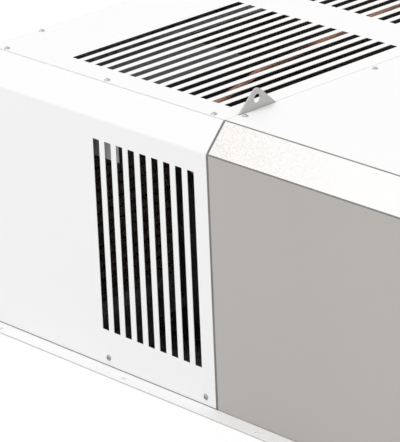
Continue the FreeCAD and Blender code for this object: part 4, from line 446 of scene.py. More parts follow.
def block(low, high, radius=0.0, segments=2):
    """A box between two corners, with rounded edges."""
    work = bmesh.new()
    size = Vector(high) - Vector(low)
    middle = (Vector(high) + Vector(low)) / 2
    matrix = Matrix.Translation(middle) @ Matrix.Diagonal((*size, 1.0))
    bmesh.ops.create_cube(work, size=1.0, matrix=matrix)
    if radius:
        rounded(work, list(work.edges), radius, segments)
    return work


def plate_shape(low, high, axis, corner, segments, ease):
    """A plate that is thin along one axis, with round corners and eased edges."""
    plate = block(low, high)
    corners = [edge for edge in plate.edges
               if abs(edge.verts[0].co[axis] - edge.verts[1].co[axis]) > 0.004]
    rounded(plate, corners, corner, segments)
    rounded(plate, sharp_edges(plate), ease, 2)
    return plate


def hexagon(radius, long, ease):
    """A hexagonal bar along X from 0, with eased edges."""
    work = bmesh.new()
    turn = Matrix.Rotation(math.pi / 2, 4, "Y")
    bmesh.ops.create_cone(
        work, cap_ends=True, segments=6, radius1=radius, radius2=radius, depth=long,
        matrix=Matrix.Translation((long / 2, 0, 0)) @ turn,
    )
    rounded(work, sharp_edges(work, 20.0), ease, 2)
    return work


def aim(place, heading=X):
    """Where a shape made along X goes."""
    return Matrix.Translation(Vector(place)) @ X.rotation_difference(heading).to_matrix().to_4x4()


def moved(work, matrix):
    """Put a whole bmesh elsewhere and return it."""
    bmesh.ops.transform(work, matrix=matrix, verts=work.verts)
    return work


def around(count, start=0.0):
    """Turns about X that share out the full circle."""
    return [Matrix.Rotation(math.tau * (number + start) / count, 4, "X")
            for number in range(count)]


def put(target, source, matrix=None, index=None):
    """Add a placed copy of one bmesh to another."""
    mesh = bpy.data.meshes.new("copy")
    source.to_mesh(mesh)
    if matrix is not None:
        mesh.transform(matrix)
    if index is not None:
        mesh.polygons.foreach_set("material_index", [index] * len(mesh.polygons))
    target.from_mesh(mesh)
    bpy.data.meshes.remove(mesh)


def several(*placed):
    """One bmesh out of pairs or triples: bmesh, matrix and material number."""
    work = bmesh.new()
    for item in placed:
        put(work, *item)
    return work


def bent_pipe(route, radius, bend, sides=5):
    """A pipe along straight runs with tangent bends, its corners given in millimetres."""
    corners = [Vector(point) * 0.001 for point in route]
    radius, bend = radius * 0.001, bend * 0.001
    curve = bpy.data.curves.new("pipe_run", "CURVE")
    curve.dimensions = "3D"
    curve.bevel_depth = radius
    curve.bevel_resolution = sides
    curve.resolution_u = 8
    curve.use_fill_caps = True
    stations = [(corners[0], None, None)]
    for before, here, after in zip(corners, corners[1:], corners[2:]):
        come, leave = (here - before).normalized(), (after - here).normalized()
        turn = come.angle(leave)
        back = bend * math.tan(turn / 2)
        grip = bend * math.tan(turn / 4) * 4 / 3
        stations.append((here - come * back, None, come * grip))
        stations.append((here + leave * back, -leave * grip, None))
    stations.append((corners[-1], None, None))
    spline = curve.splines.new("BEZIER")
    spline.bezier_points.add(len(stations) - 1)
    for number, (point, (place, back, ahead)) in enumerate(zip(spline.bezier_points, stations)):
        point.co = place
        point.handle_left_type = point.handle_right_type = "FREE"
        previous = stations[max(number - 1, 0)][0]
        following = stations[min(number + 1, len(stations) - 1)][0]
        point.handle_left = place + (back if back else (previous - place) / 3)
        point.handle_right = place + (ahead if ahead else (following - place) / 3)
    holder = bpy.data.objects.new("pipe_run", curve)
    bpy.context.scene.collection.objects.link(holder)
    bpy.context.view_layer.update()
    graph = bpy.context.evaluated_depsgraph_get()
    mesh = bpy.data.meshes.new_from_object(holder.evaluated_get(graph))
    work = bmesh.new()
    work.from_mesh(mesh)
    bmesh.ops.remove_doubles(work, verts=work.verts, dist=0.000005)
    bmesh.ops.recalc_face_normals(work, faces=work.faces)
    bpy.data.objects.remove(holder)
    bpy.data.curves.remove(curve)
    bpy.data.meshes.remove(mesh)
    return work


def solder_ring(place, heading, radius, long=9.0):
    """A brazed socket on a pipe end."""
    profile = [(0, radius), (0, radius + 0.9), (1.2, radius + 1.5), (long - 1.2, radius + 1.5),
               (long, radius + 0.9), (long, radius)]
    return turned(profile, 24, loop=True), aim(Vector(place) * 0.001, heading)


# Casing


def shaded_inner_faces(face):
    """Painted shade: the inner faces of the white section's sheets, and the deeper part of their
    slots' walls, dark as the shade inside the casing.
    """
    centre = face.calc_center_median()
    middle = Vector(((LEFT_FACE + BULKHEAD) / 2, 0, TOP / 2))
    if face.normal.dot(centre - middle) < 0 and face.calc_area() > 0.00001:
        return 1
    top_reach, side_foot, side_head = 0.475, 0.07, 0.44  # the fields of the slots
    in_top = abs(centre.y) < top_reach and LEFT_FACE + 0.1 < centre.x and TOP - 0.01 < centre.z
    in_side = abs(centre.y) > HALF_WIDTH - 0.008 and side_foot < centre.z < side_head
    if in_top and centre.z < TOP - COAT_REACH:
        return 1
    return 1 if in_side and abs(centre.y) < HALF_WIDTH - COAT_REACH else 0


def outer_rim(face):
    """The sheared outer rims of the base angles."""
    centre = face.calc_center_median()
    low = centre.z < 0.0024
    return 1 if low and (abs(centre.y) > 0.5895 or abs(centre.x) > 0.9265) else 0


def sealed_rim(face):
    """The bulkhead's rim between the panels, below its lugs."""
    centre = face.calc_center_median()
    return 1 if abs(face.normal.x) < 0.5 and centre.z < TOP + 0.0005 else 0


def side_bead(side, name, materials, node, *strips):
    """Sealant on one side, from strips given for the front: two corners and a rounding."""
    bead = several(*(
        (block(low, high, ease), None, number)
        for number, (low, high, ease) in enumerate(strips)
    ))
    if side == REAR:
        bmesh.ops.reverse_faces(moved(bead, Matrix.Scale(-1, 4, Y)), faces=bead.faces)
    made_piece(bead, name, materials, node, "seal_bead")


def make_casing():
    """Sheets, rails, strips and lifting bars as their solids have them, and the sealant."""
    for label, side in SIDES:
        coat_end = Y * side * (HALF_WIDTH - COAT_REACH)
        eased(f"side_panel_{label}", f"{label}_slotted_side", [WHITE, SHADE_INSIDE], fold=0.0022,
              paint=shaded_inner_faces, cut=(coat_end, Y))
        eased(f"base_rail_{label}", f"{label}_base_angle", [WHITE, CUT_EDGE], 0.0003,
              paint=outer_rim)
        eased(f"evaporator_panel_{label}", f"{label}_grey_side", GREY)
        eased(f"corner_strip_{label}", f"{label}_chamfer_strip", LIT_CHAMFER)
        side_bead(side, f"{label}_foot_sealant", [FOOT_BEAD, GREY_FOOT_BEAD], f"base_rail_{label}",
                  ((-0.8940, -0.5588, BEAD_FOOT), (BULKHEAD, -0.5577, BEAD_HEAD), 0.0004),
                  ((BULKHEAD, -0.5588, BEAD_FOOT), (0.8940, -0.5577, BEAD_HEAD), 0.0004))
        side_bead(side, f"{label}_top_seam_sealant", PALE_BEAD, f"side_panel_{label}",
                  ((-0.8925, -0.5130, 0.5252), (-0.2860, -0.5123, 0.5259), 0.0))
        side_bead(side, f"{label}_joint_sealant", JOINT_BEAD, "partition_plate",
                  ((-0.2876, -0.5574, 0.0030), (-0.2824, -0.5566, 0.0450), 0.0002))
    for label in ("left", "right"):
        eased(f"base_rail_{label}", f"{label}_base_angle", [WHITE, CUT_EDGE], 0.0003,
              paint=outer_rim)
    end_seam = block((-0.8936, -0.5120, 0.5252), (-0.8928, 0.5120, 0.5259))
    made_piece(end_seam, "end_seam_sealant", WHITE, "condenser_end_panel", "seal_bead")
    proud = 0.0008
    for label, start, end in (("left", LEFT_FACE - proud, LEFT_FACE),
                              ("right", RIGHT_FACE, RIGHT_FACE + proud)):
        foot = block((start, -0.557, BEAD_FOOT), (end, 0.557, BEAD_HEAD), 0.0003)
        made_piece(foot, f"{label}_foot_sealant", FOOT_BEAD, f"base_rail_{label}", "seal_bead")
    eased("condenser_top_panel", "slotted_top_sheet", [WHITE, SHADE_INSIDE], paint=shaded_inner_faces,
          cut=(Z * (TOP - COAT_REACH), Z))
    eased("condenser_end_panel", "fan_end_sheet", [WHITE, SHADE_INSIDE], paint=shaded_inner_faces)
    eased("evaporator_end_panel", "grey_end_sheet", GREY)
    eased("evaporator_top_cover", "white_top_cover", WHITE)
    eased("partition_plate", "bulkhead_plate", [LUG, JOINT_BEAD], 0.0006, 3, paint=sealed_rim)
    eased("end_lifting_bar", "far_lifting_bar", LUG, 0.0006, 3)
    eased("condenser_floor_pan", "floor_pan", DARK_ZINC, 0.0005)
    eased("evaporator_floor", "insulated_floor", FOAM_SKIN, 0.0008)
    frame["nodes"]["panel_seals"].data.materials[0] = BEAD
    frame["nodes"]["insulation"].data.materials[0] = FOAM


def screw_head():
    """Dome head with a flange, its axis along X, standing on 0."""
    return turned([(0, 0), (0, 5.6), (0.5, 5.6), (0.8, 5.2), (0.9, 4.3), (1.8, 3.9), (2.5, 3.1),
                   (2.85, 1.8), (2.95, 0)], 20)


def make_screws():
    """Every casing screw's head with a cross recess. On the sides the recess is painted black as
    its shade; on the top the heads take a paler copy of the zinc as painted light, with the recess
    in the plainer zinc.
    """
    head = screw_head()
    recess = block((0.0024, -0.0021, -0.0005), (0.00297, 0.0021, 0.0005))
    recess_turn = 0.4
    heads = bmesh.new()
    for foot, heading in screw_places():
        spot = aim(foot, heading)
        on_top = heading.z > 0.5
        put(heads, head, spot, 2 if on_top else 0)
        for turn in (recess_turn, recess_turn + math.pi / 2):
            # Painted shade: the recess mark is black on the side heads, plain zinc on the lit top
            # heads
            put(heads, recess, spot @ Matrix.Rotation(turn, 4, "X"), 0 if on_top else 1)
    finish(heads, "casing_screw_heads", [SCREW, BLACK, LIT_TOP_SCREW], "casing_screws", sharp=30.0)


def separate_solids(work):
    """The verts of each separate solid in a bmesh."""
    seen = set()
    for start in work.verts:
        if start in seen:
            continue
        island, front = [], [start]
        seen.add(start)
        while front:
            vert = front.pop()
            island.append(vert)
            for edge in vert.link_edges:
                other = edge.other_vert(vert)
                if other not in seen:
                    seen.add(other)
                    front.append(other)
        yield island


def corners_of(verts):
    """Low and high corner of the box around them."""
    low = Vector([min(vert.co[axis] for vert in verts) for axis in range(3)])
    high = Vector([max(vert.co[axis] for vert in verts) for axis in range(3)])
    return low, high


def screw_places():
    """Foot and way of every casing screw, from its solid."""
    work = copied("casing_screws")
    places = []
    for island in separate_solids(work):
        low, high = corners_of(island)
        middle, size = (low + high) / 2, high - low
        axis = min(range(3), key=lambda number: size[number])
        heading = (X, Y, Z)[axis].copy()
        if axis < 2 and middle[axis] < 0:
            heading.negate()
        places.append((middle - heading * size[axis] / 2, heading))
    work.free()
    return places


# Fans


def fan_blade():
    """A twisted, cambered blade that stands up Z from inside the hub, 23 mm along the hub."""
    work = bmesh.new()
    bmesh.ops.create_grid(work, x_segments=14, y_segments=12, size=0.5)
    root, tip, camber, middle = 0.060, 0.1742, 0.009, 0.023
    for vert in work.verts:
        share, span = vert.co.x, vert.co.y + 0.5
        chord = 0.082 + 0.042 * span
        pitch = math.radians(32 - 9 * span)
        along = share * chord * (1 - 0.10 * max(0.0, span - 0.75) * 4 * abs(share))
        rise = camber * (1 - (2 * share) ** 2)
        across = along * math.cos(pitch) + rise * math.sin(pitch)
        inner = math.sqrt(root ** 2 - across ** 2) if abs(across) < 0.059 else 0.011
        outer = math.sqrt(tip ** 2 - across ** 2)
        axial = middle + along * math.sin(pitch) - rise * math.cos(pitch)
        vert.co = (axial, across, inner + (outer - inner) * span)
    bmesh.ops.solidify(work, geom=work.faces, thickness=0.0026)
    bmesh.ops.recalc_face_normals(work, faces=work.faces)
    rounded(work, sharp_edges(work, 50.0), 0.0008, 2)
    return work


def make_rotor(node, name, place):
    """Rotor whose hub starts at the place and goes +X."""
    hub = turned([(0, 0), (0, 20), (5, 22), (5, 50), (0, 54), (0, 61), (1.2, 64), (4, 65),
                  (42, 65), (45, 63.5), (46, 60), (46, 30), (41, 26), (41, 0)], 72)
    boss = turned([(40, 0), (40, 12), (45.5, 11), (46, 9), (46, 0)], 32)
    rib = block((0.0020, -0.0014, 0.021), (0.0052, 0.0014, 0.052), 0.0006)
    blade = fan_blade()
    rotor = several((hub, None), (boss, None))
    for turn in around(5):
        put(rotor, blade, turn)
    for turn in around(10, 0.5):
        put(rotor, rib, turn)
    put(rotor, turned([(-24, 0), (-24, 5), (-23, 6), (0.2, 6), (0.2, 0)], 24))
    finish(moved(rotor, Matrix.Translation(place)), name, BLACK, node, sharp=35.0)


def motor_shape():
    """External motor, 26 mm long from 0, with a finned rim and a bore for the shaft."""
    return turned([
        (0, 6.05), (0, 44), (1.5, 47.5), (3, 48), (4, 52), (6, 52), (6.5, 48.5), (9.5, 48.5),
        (10, 52), (12, 52), (12.5, 48.5), (15.5, 48.5), (16, 52), (18, 52), (18.5, 48.5), (22, 48),
        (24, 46.5), (26, 42), (26, 6.05)], 72, loop=True)


def guard_rings(radii, wire=1.7):
    """Wire rings about X, their radii in millimetres, centred on 0."""
    work = bmesh.new()
    turns = [math.tau * number / 8 for number in range(8)]
    for radius in radii:
        section = [(wire * math.cos(turn), radius + wire * math.sin(turn)) for turn in turns]
        put(work, turned(section, 96, loop=True))
    return work


def guard_arm():
    """A flat arm along Z from the centre plate, and its foot turned back onto the panel."""
    front, back, half, reach = -GUARD_STAND - 0.004, -GUARD_STAND, 0.0045, 0.194
    arm = block((front, -half, 0.044), (back, half, reach), 0.0010)
    foot = block((front, -half, 0.1850), (0, half, reach), 0.0010)
    return arm, foot


def make_guards(node, name, place, radii=()):
    """The motors' plates on four arms each, with wire rings where radii are given."""
    face, y, z = place
    guard = bmesh.new()
    plate = turned([(-16, 0), (-16, 44), (-15, 47), (-14, 48), (-12.6, 48), (-12, 47), (-12, 0)],
                   64)
    arm = guard_arm()
    for side in (FRONT, REAR):
        spot = Matrix.Translation((face, y * side, z))
        put(guard, plate, spot)
        for turn in around(4, 0.5):
            for shape in arm:
                put(guard, shape, spot @ turn)
        if radii:
            put(guard, guard_rings(radii), spot @ Matrix.Translation((-0.014, 0, 0)))
    finish(guard, name, WIRE, node, sharp=35.0)


def fan_ring_shape(sheet, long=46.5):
    """Fan ring: a rolled lip over the edge of the opening and a wall behind the sheet."""
    return turned([
        (-sheet - 0.1, 186.6), (-sheet - 0.7, 186.4), (-sheet - 1.0, 185.4), (-sheet - 0.9, 184.0),
        (-sheet - 0.3, 182.6), (0.8, 182.0), (long - 0.5, 182.0), (long, 182.5), (long, 184.0),
        (long - 0.5, 184.4), (0.1, 184.4), (0.0, 182.9), (-sheet, 182.9), (-sheet, 186.4),
    ], 128, loop=True)


def make_fans():
    """Both sections' rotors, motors, rings and guards. The front fan mirrors the rear one."""
    for section, (face, y, z), blades_at, sheet, coat in (
        ("condenser", CONDENSER_FAN, -0.879, 1.5, WHITE),
        ("evaporator", EVAPORATOR_FAN, 0.109, 2.0, ZINC),
    ):
        motors, rings = bmesh.new(), bmesh.new()
        motor, ring = motor_shape(), fan_ring_shape(sheet)
        for label, side in SIDES:
            make_rotor(f"{section}_fan_{label}", f"{section}_rotor_{label}_moulding",
                       (blades_at, y * side, z))
            put(motors, motor, Matrix.Translation((face - GUARD_STAND, y * side, z)))
            put(rings, ring, Matrix.Translation((face + sheet * 0.001, y * side, z)))
        finish(motors, f"{section}_motor_cans", MOTOR, f"{section}_fan_motors", sharp=35.0)
        finish(rings, f"{section}_ring_walls", coat, f"{section}_fan_rings")
    make_guards("condenser_fan_guards", "condenser_wire_guards", CONDENSER_FAN,
                [191.5] + [62.0 + 13.0 * number for number in range(10)])
    make_guards("evaporator_fan_mounts", "evaporator_motor_arms", EVAPORATOR_FAN)


# Condensing section


def make_coil():
    """Flat tubes with folded fins between them, in side channels."""
    eased("condenser_flat_tubes", "coil_flat_tubes", COIL_TUBE, 0.0009)
    low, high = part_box("condenser_fins")
    rows, folds, foot, head, tube = 21, 260, 0.026, 0.488, 0.0024
    pitch = (head - foot) / rows
    lift = (pitch - tube) / 2 - 0.00012
    strip = bmesh.new()
    bmesh.ops.create_grid(strip, x_segments=folds, y_segments=1, size=0.5)
    for vert in strip.verts:
        number = round((vert.co.x + 0.5) * folds)
        vert.co = (
            (low.x + high.x) / 2 + vert.co.y * (high.x - low.x),
            low.y + 0.0004 + (high.y - low.y - 0.0008) * number / folds,
            lift if number % 2 else -lift,
        )
    bmesh.ops.solidify(strip, geom=strip.faces, thickness=0.00018)
    fins = bmesh.new()
    for number in range(rows):
        put(fins, strip, Matrix.Translation((0, 0, foot + pitch * (number + 0.5))))
    bmesh.ops.recalc_face_normals(fins, faces=fins.faces)
    finish(fins, "coil_folded_fins", SHADE_DARK_FIN, "condenser_fins", smooth=False)
    make_headers()
    eased("condenser_channels", "coil_channels", ZINC, 0.0004)


def make_headers():
    """Upright pipes, cut flat where the tubes enter, with two stubs on the rear one."""
    flat = 0.494
    headers = bmesh.new()
    for side in (FRONT, REAR):
        pipe = moved(
            turned([(0, 0), (0, 15), (1.5, 18), (4, 19), (464, 19), (466.5, 18), (468, 15),
                    (468, 0)], 40), aim((HEADER_X, HEADER_Y * side, 0.023), Z))
        rim = cut_across(pipe, (0, flat * side, 0), (0, -side, 0), clear=True)
        bmesh.ops.edgeloop_fill(pipe, edges=rim)
        bmesh.ops.recalc_face_normals(pipe, faces=pipe.faces)
        put(headers, pipe)
    stub = turned([(0, 0), (0, 9), (26.2, 9), (27, 8.2), (27, 0)], 32)
    for up in (0.470, 0.060):
        put(headers, stub, aim((HEADER_X, HEADER_Y, up), X))
    finish(headers, "coil_header_pipes", COIL_TUBE, "condenser_headers")


def make_compressor():
    """Upright shell on a foot plate, with its terminal cover, rubber feet and nuts."""
    shell = turned([
        (0, 0), (0, 62), (3, 76), (12, 94), (26, 106), (42, 111.8), (52, 113), (196, 113),
        (197.5, 116.5), (199.5, 118), (207.5, 118), (209.5, 116.5), (211, 113), (236, 113),
        (250, 111), (264, 103), (275, 90), (282, 70), (285, 48), (285, 0)], 96)
    moved(shell, aim(COMPRESSOR, Z))
    plate = plate_shape((-0.615, -0.405, 0.022), (-0.325, -0.195, 0.027), 2, 0.022, 6, 0.0012)
    work = several((shell, None, 0), (plate, None, 0))
    for x, y, socket, neck in ((-0.440, -0.372, 10.6, 9), (-0.425, -0.255, 13.2, 11.6)):
        stub = turned([(0, 0), (0, socket), (20, socket), (22, neck), (32, neck), (32, 0)], 32)
        put(work, stub, aim((x, y, 0.296), Z), 1)
    finish(work, "compressor_vessel", [BLACK_SHELL, COPPER], "compressor_shell")

    eased("compressor_terminal_cover", "compressor_terminal_lid", GREY_PLASTIC, 0.0025, 3)
    screws = several(*((screw_head(), aim((-0.3171, -0.300, up), X)) for up in (0.200, 0.150)))
    made_piece(screws, "terminal_cover_screws", SCREW, "compressor_terminal_cover", "zinc_screw")

    grommets, bolts = bmesh.new(), bmesh.new()
    foot = turned([(0, 0), (0, 15.5), (1, 17), (6, 16.5), (10, 13.5), (14, 16.5), (19, 17),
                   (20, 15.5), (20, 0)], 36)
    washer = turned([(0, 0), (0, 10.5), (1.4, 10.5), (1.8, 10), (1.8, 0)], 32)
    nut = hexagon(0.0075, 0.0052, 0.0005)
    stud = turned([(0, 0), (0, 4), (6.4, 4), (7, 3.2), (7, 0)], 20)
    for along in (-0.125, 0.125):
        for across in (-0.085, 0.085):
            spot = Vector((COMPRESSOR.x + along, COMPRESSOR.y + across, 0.002))
            put(grommets, foot, aim(spot, Z))
            top = spot + Z * 0.025
            put(bolts, washer, aim(top, Z))
            put(bolts, nut, aim(top + Z * 0.0016, Z))
            put(bolts, stud, aim(top, Z))
    finish(grommets, "compressor_rubber_feet", RUBBER, "compressor_grommets")
    finish(bolts, "compressor_foot_nuts", SCREW, "compressor_bolts", sharp=30.0)


def make_receiver():
    """Upright receiver, and the drier and the sight glass that follow it."""
    vessel = turned([
        (0, 0), (0, 20), (2, 36), (7, 47), (13, 53), (18, 55), (150, 55), (151, 55.8), (155, 55.8),
        (156, 55), (282, 55), (287, 53), (293, 47), (298, 36), (300, 20), (300, 0)], 72)
    ring = turned([(0, 26), (0, 31), (14, 31), (15, 31), (15, 26)], 48, loop=True)
    work = several((vessel, aim(RECEIVER, Z), 0), (ring, aim(RECEIVER - Z * 0.014, Z), 0))
    stub = turned([(50, 0), (50, 9), (62, 9), (63, 8), (63, 0)], 28)
    for heading in (X, Y):
        put(work, stub, aim((RECEIVER.x, RECEIVER.y, 0.060), heading), 1)
    valve = turned([(0, 0), (0, 8), (9, 8), (10, 6), (16, 6), (17, 4), (17, 0)], 24)
    put(work, valve, aim(RECEIVER + Z * 0.2885, Z), 1)
    finish(work, "receiver_vessel", [GREY_SHELL, BRASS], "liquid_receiver")

    drum = turned([
        (0, 0), (0, 7.6), (6, 8), (9, 9), (16, 20), (20, 25.5), (24, 27), (60, 27), (62, 27.6),
        (66, 27.6), (68, 27), (126, 27), (130, 25.5), (134, 20), (141, 9), (144, 8), (150, 7.6),
        (150, 0)], 56)
    finish(moved(drum, aim(DRIER, X)), "drier_drum", GREY_SHELL, "filter_drier")

    fitting = moved(hexagon(0.015, 0.028, 0.0008), aim(GLASS, X))
    bezel = turned([(0, 0), (0, 11), (17, 11), (18.5, 12), (20, 11.2), (20, 9), (18.8, 8.4),
                    (18.8, 0)], 32)
    eye = turned([(18.5, 0), (18.5, 8.3), (19.2, 7.6), (19.6, 0)], 28)
    middle = Vector((GLASS.x + 0.014, GLASS.y, GLASS.z))
    finish(several((fitting, None, 0), (bezel, aim(middle, Z), 0), (eye, aim(middle, Z), 1)),
           "sight_glass_fitting", [BRASS, GLASS_EYE], "sight_glass")


def make_pipes():
    """The three lines, their routes in millimetres from one connection to the next."""
    discharge = bent_pipe([
        (-440, -372, 324), (-440, -372, 362), (-440, -450, 362), (-440, -450, 466),
        (-541, -180.5, 466), (-644, 508, 470), (-736, 508, 470)], 7, 30, 6)
    sockets = [solder_ring((-440, -372, 328), Z, 7.0), solder_ring((-734, 508, 470), X, 7.0)]
    finish(several((discharge, None), *sockets), "discharge_pipe", COPPER, "discharge_line")

    liquid = several(
        (bent_pipe([(-736, 508, 60), (-615, 508, 60), (-615, 121, 60)], 6, 30, 5), None),
        (bent_pipe([(-553, 60, 60), (-539, 60, 60)], 6, 10, 5), None),
        (bent_pipe([(-391, 60, 60), (-374, 60, 60)], 6, 10, 5), None),
        (bent_pipe([(-348, 60, 60), (-315, 60, 60), (-315, 35.5, 440), (231, 35.5, 440),
                    (231, 447, 440), (231, 447, 338)], 6, 24, 5), None),
        (bent_pipe([(-315, 42.5, 345.5), (-315, -29, 345.5)], 2, 5, 3), None),
        solder_ring((-734, 508, 60), X, 6.0), solder_ring((-552, 60, 60), X, 6.0, 5.0),
        solder_ring((-347, 60, 60), X, 6.0, 8.0), solder_ring((231, 447, 341), Z, 6.0),
    )
    finish(liquid, "liquid_pipe", COPPER, "liquid_line")

    suction = bent_pipe([
        (-425, -255, 324), (-425, -255, 440), (-425, 60.5, 440), (203, 60.5, 440),
        (203, 480, 440), (291.5, 480, 440), (291.5, 480, 101.5)], 11, 30, 7)
    parts = [(suction, None), solder_ring((-425, -255, 328), Z, 11.0, 11.0)]
    for up in (148.5, 242.5, 336.5, 430.5):
        parts.append((bent_pipe([(291.5, 441, up), (291.5, 480, up)], 6, 10, 5), None))
        parts.append(solder_ring((291.5, 462, up), Y, 6.0, 8.0))
    finish(several(*parts), "suction_pipe", COPPER, "suction_line")
    make_pipe_plug()


def make_pipe_plug():
    """Round plug in the bulkhead, with a lip and a collar about each of its two pipes."""
    up = 0.440
    body = turned([(-290, 0), (-290, 33), (-289.4, 35.4), (-288.3, 36.2), (-287.1, 36.2),
                   (-287.1, 31.6), (-282.7, 31.6), (-282.7, 0)], 64)
    plug = several((body, Matrix.Translation((0, 0.048, up))))
    for y, radius in ((0.0605, 11.05), (0.0355, 6.05)):
        collar = turned([(-293, radius), (-293, radius + 1.2), (-290, radius + 2.4),
                         (-289.8, radius)], 32, loop=True)
        put(plug, collar, Matrix.Translation((0, y, up)))
    finish(plug, "bulkhead_pipe_plug", RUBBER, "pipe_grommet", sharp=30.0)


def box_coats_and_shade(face):
    """Painted shade: black on the box's end towards the bulkhead and the dark inside coat on its
    two posts, as shade inside the casing.
    """
    box_foot, box_end = 0.388, -0.5435
    centre = face.calc_center_median()
    if centre.z < box_foot:
        return 2
    return 1 if face.normal.x > 0.7 and centre.x > box_end else 0


def make_electrical():
    """Switch box, contactors and pressure switch."""
    eased("electrical_box", "switch_box_tray", [BOX_COAT, BLACK, SHADE_INSIDE], 0.0004,
          paint=box_coats_and_shade)
    eased("electrical_box_lid", "switch_box_lid", SHADED_BOX_LID, 0.0006)
    eased("contactors", "contactor_row", GREY_PLASTIC, 0.0008)
    eased("pressure_switch", "pressure_switch_case", GREY_PLASTIC, 0.0012)
    button = turned([(0, 0), (0, 3.6), (0.9, 4.5), (14, 4.5), (14, 0)], 28)
    finish(moved(button, aim((-0.339, -0.050, 0.376), X)), "pressure_reset_button", RED,
           "reset_button")


def make_main_switch():
    """Plate with two plain position marks and four screws, and the handle on its spindle."""
    spot = aim(SWITCH)
    plate = plate_shape((-0.900, -0.032, 0.218), (LEFT_FACE, 0.032, 0.282), 0, 0.006, 5, 0.0008)
    neck = bar(10, -0.5, 2, 32)
    back = block((-0.8935, -0.023, 0.227), (-0.8455, 0.023, 0.273), 0.0015)
    work = several((plate, None, 0), (neck, spot, 0), (back, None, 0))
    mark = block((-0.0052, -0.0008, 0.0245), (-0.0048, 0.0008, 0.0295))
    for turn in (0.0, math.pi / 2):
        put(work, mark, spot @ Matrix.Rotation(turn, 4, "X"), 1)
    screw = turned([(-5.0, 0), (-5.0, 2.6), (-5.6, 2.2), (-5.9, 0)], 16)
    for y in (-0.026, 0.026):
        for z in (-0.026, 0.026):
            put(work, screw, spot @ Matrix.Translation((0, y, z)), 2)
    finish(work, "main_switch_plate", [YELLOW, BLACK, SCREW], "main_switch", sharp=30.0)

    disc = turned([(-5.3, 0), (-5.3, 22), (-6, 22), (-10, 21.4), (-11.8, 20), (-12.3, 18),
                   (-12.3, 0)], 64)
    grip = block((-0.0233, -0.0055, -0.0205), (-0.0118, 0.0055, 0.0205), 0.0022, 3)
    groove = block((-0.02336, -0.0009, 0.006), (-0.0229, 0.0009, 0.0185))
    spindle = bar(4, -5.4, 9.7)
    rib = block((-0.0112, -0.0007, 0.0208), (-0.0062, 0.0007, 0.0220), 0.0003)
    knob = several((disc, spot, 0), (grip, spot, 0), (spindle, spot, 0), (groove, spot, 1))
    for turn in around(24):
        put(knob, rib, spot @ turn, 0)
    finish(knob, "main_switch_handle", [RED, WHITE], "main_switch_knob", sharp=30.0)


def make_cable_glands():
    """Two bored glands, each nutted on both sides of the end sheet, with a ribbed cap."""
    cap = turned([(-9, 6.05), (-9, 11.2), (-9.6, 12), (-14, 12), (-17.4, 11), (-18.8, 9.4),
                  (-19, 8.4), (-19, 6.05)], 40, loop=True)
    seal = turned([(-18.2, 6.02), (-18.2, 8.2), (-18.9, 8.0), (-19.0, 6.02)], 32, loop=True)
    sleeve = turned([(-0.2, 6.05), (-0.2, 10), (1.7, 10), (1.7, 6.05)], 32, loop=True)
    rib = block((-0.0165, -0.0006, 0.0115), (-0.0098, 0.0006, 0.01255), 0.0002)
    glands = bmesh.new()
    for side in (FRONT, REAR):
        where = Matrix.Translation((LEFT_FACE, 0.030 * side, 0.110))
        for shape, coat in ((bored_prism(-0.009, 0.0), 0), (bored_prism(0.0015, 0.0075), 0),
                            (cap, 0), (seal, 1), (sleeve, 0)):
            put(glands, shape, where, coat)
        for turn in around(16):
            put(glands, rib, where @ turn, 0)
    finish(glands, "gland_pair", [GREY_PLASTIC, RUBBER], "cable_glands", sharp=30.0)


def bored_prism(start, end, radius=0.014, bore=0.00605):
    """A hexagon about X with a round bore."""
    work = bmesh.new()
    across = Matrix.Rotation(math.pi / 2, 4, "Y")
    rims = []
    for x in (start, end):
        place = Matrix.Translation((x, 0, 0)) @ across
        outer, inner = [
            bmesh.ops.create_circle(
                work, cap_ends=False, segments=48, radius=reach, matrix=place)["verts"]
            for reach in (radius * 0.97, bore)
        ]
        for vert in outer:
            angle = math.atan2(vert.co.z, vert.co.y)
            part = (angle % (math.tau / 6)) - math.tau / 12
            reach = radius * math.cos(math.tau / 12) / math.cos(part)
            vert.co.y, vert.co.z = reach * math.cos(angle), reach * math.sin(angle)
        rims.extend([rim_edges(work, outer), rim_edges(work, inner)])
    for first, second in ((0, 1), (2, 3), (0, 2), (1, 3)):
        bmesh.ops.bridge_loops(work, edges=rims[first] + rims[second])
    bmesh.ops.recalc_face_normals(work, faces=work.faces)
    return work


def rim_edges(work, verts):
    """The edges between chosen verts."""
    chosen = set(verts)
    return [edge for edge in work.edges if edge.verts[0] in chosen and edge.verts[1] in chosen]


# Evaporator section


def make_evaporator():
    """Fin pack and its tubes, with what is fixed to them, behind and below."""
    low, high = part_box("evaporator_fins")
    plate = block((low.x, -0.00015, low.z), (high.x, 0.00015, high.z))
    fins = bmesh.new()
    count, columns, rows = 340, (0.2915, 0.3245, 0.3575), 8
    for number in range(count):
        y = low.y + 0.0005 + (high.y - low.y - 0.001) * number / (count - 1)
        put(fins, plate, Matrix.Translation((0, y, 0)))
    tube = bar(6, 0, 878, 16)
    for column in columns:
        for row in range(rows):
            put(fins, tube, aim((column, -0.439, 0.1015 + 0.047 * row), Y), 1)
    finish(fins, "evaporator_fin_pack", [FIN, COPPER], "evaporator_fins", sharp=30.0)

    make_return_bends()
    make_expansion_valve()
    eased("evaporator_fan_plate", "evaporator_fan_wall", ZINC, 0.0004)
    eased("drain_pan", "drip_tray", ZINC, 0.0003)
    rods = bmesh.new()
    rod = bar(4.5, 0, 880, 20)
    for number in range(3):
        put(rods, rod, aim((0.380, -0.440, 0.078 + 0.376 * (number + 0.5) / 3), Y))
    finish(rods, "defrost_heater_rods", HEATER, "defrost_heaters")


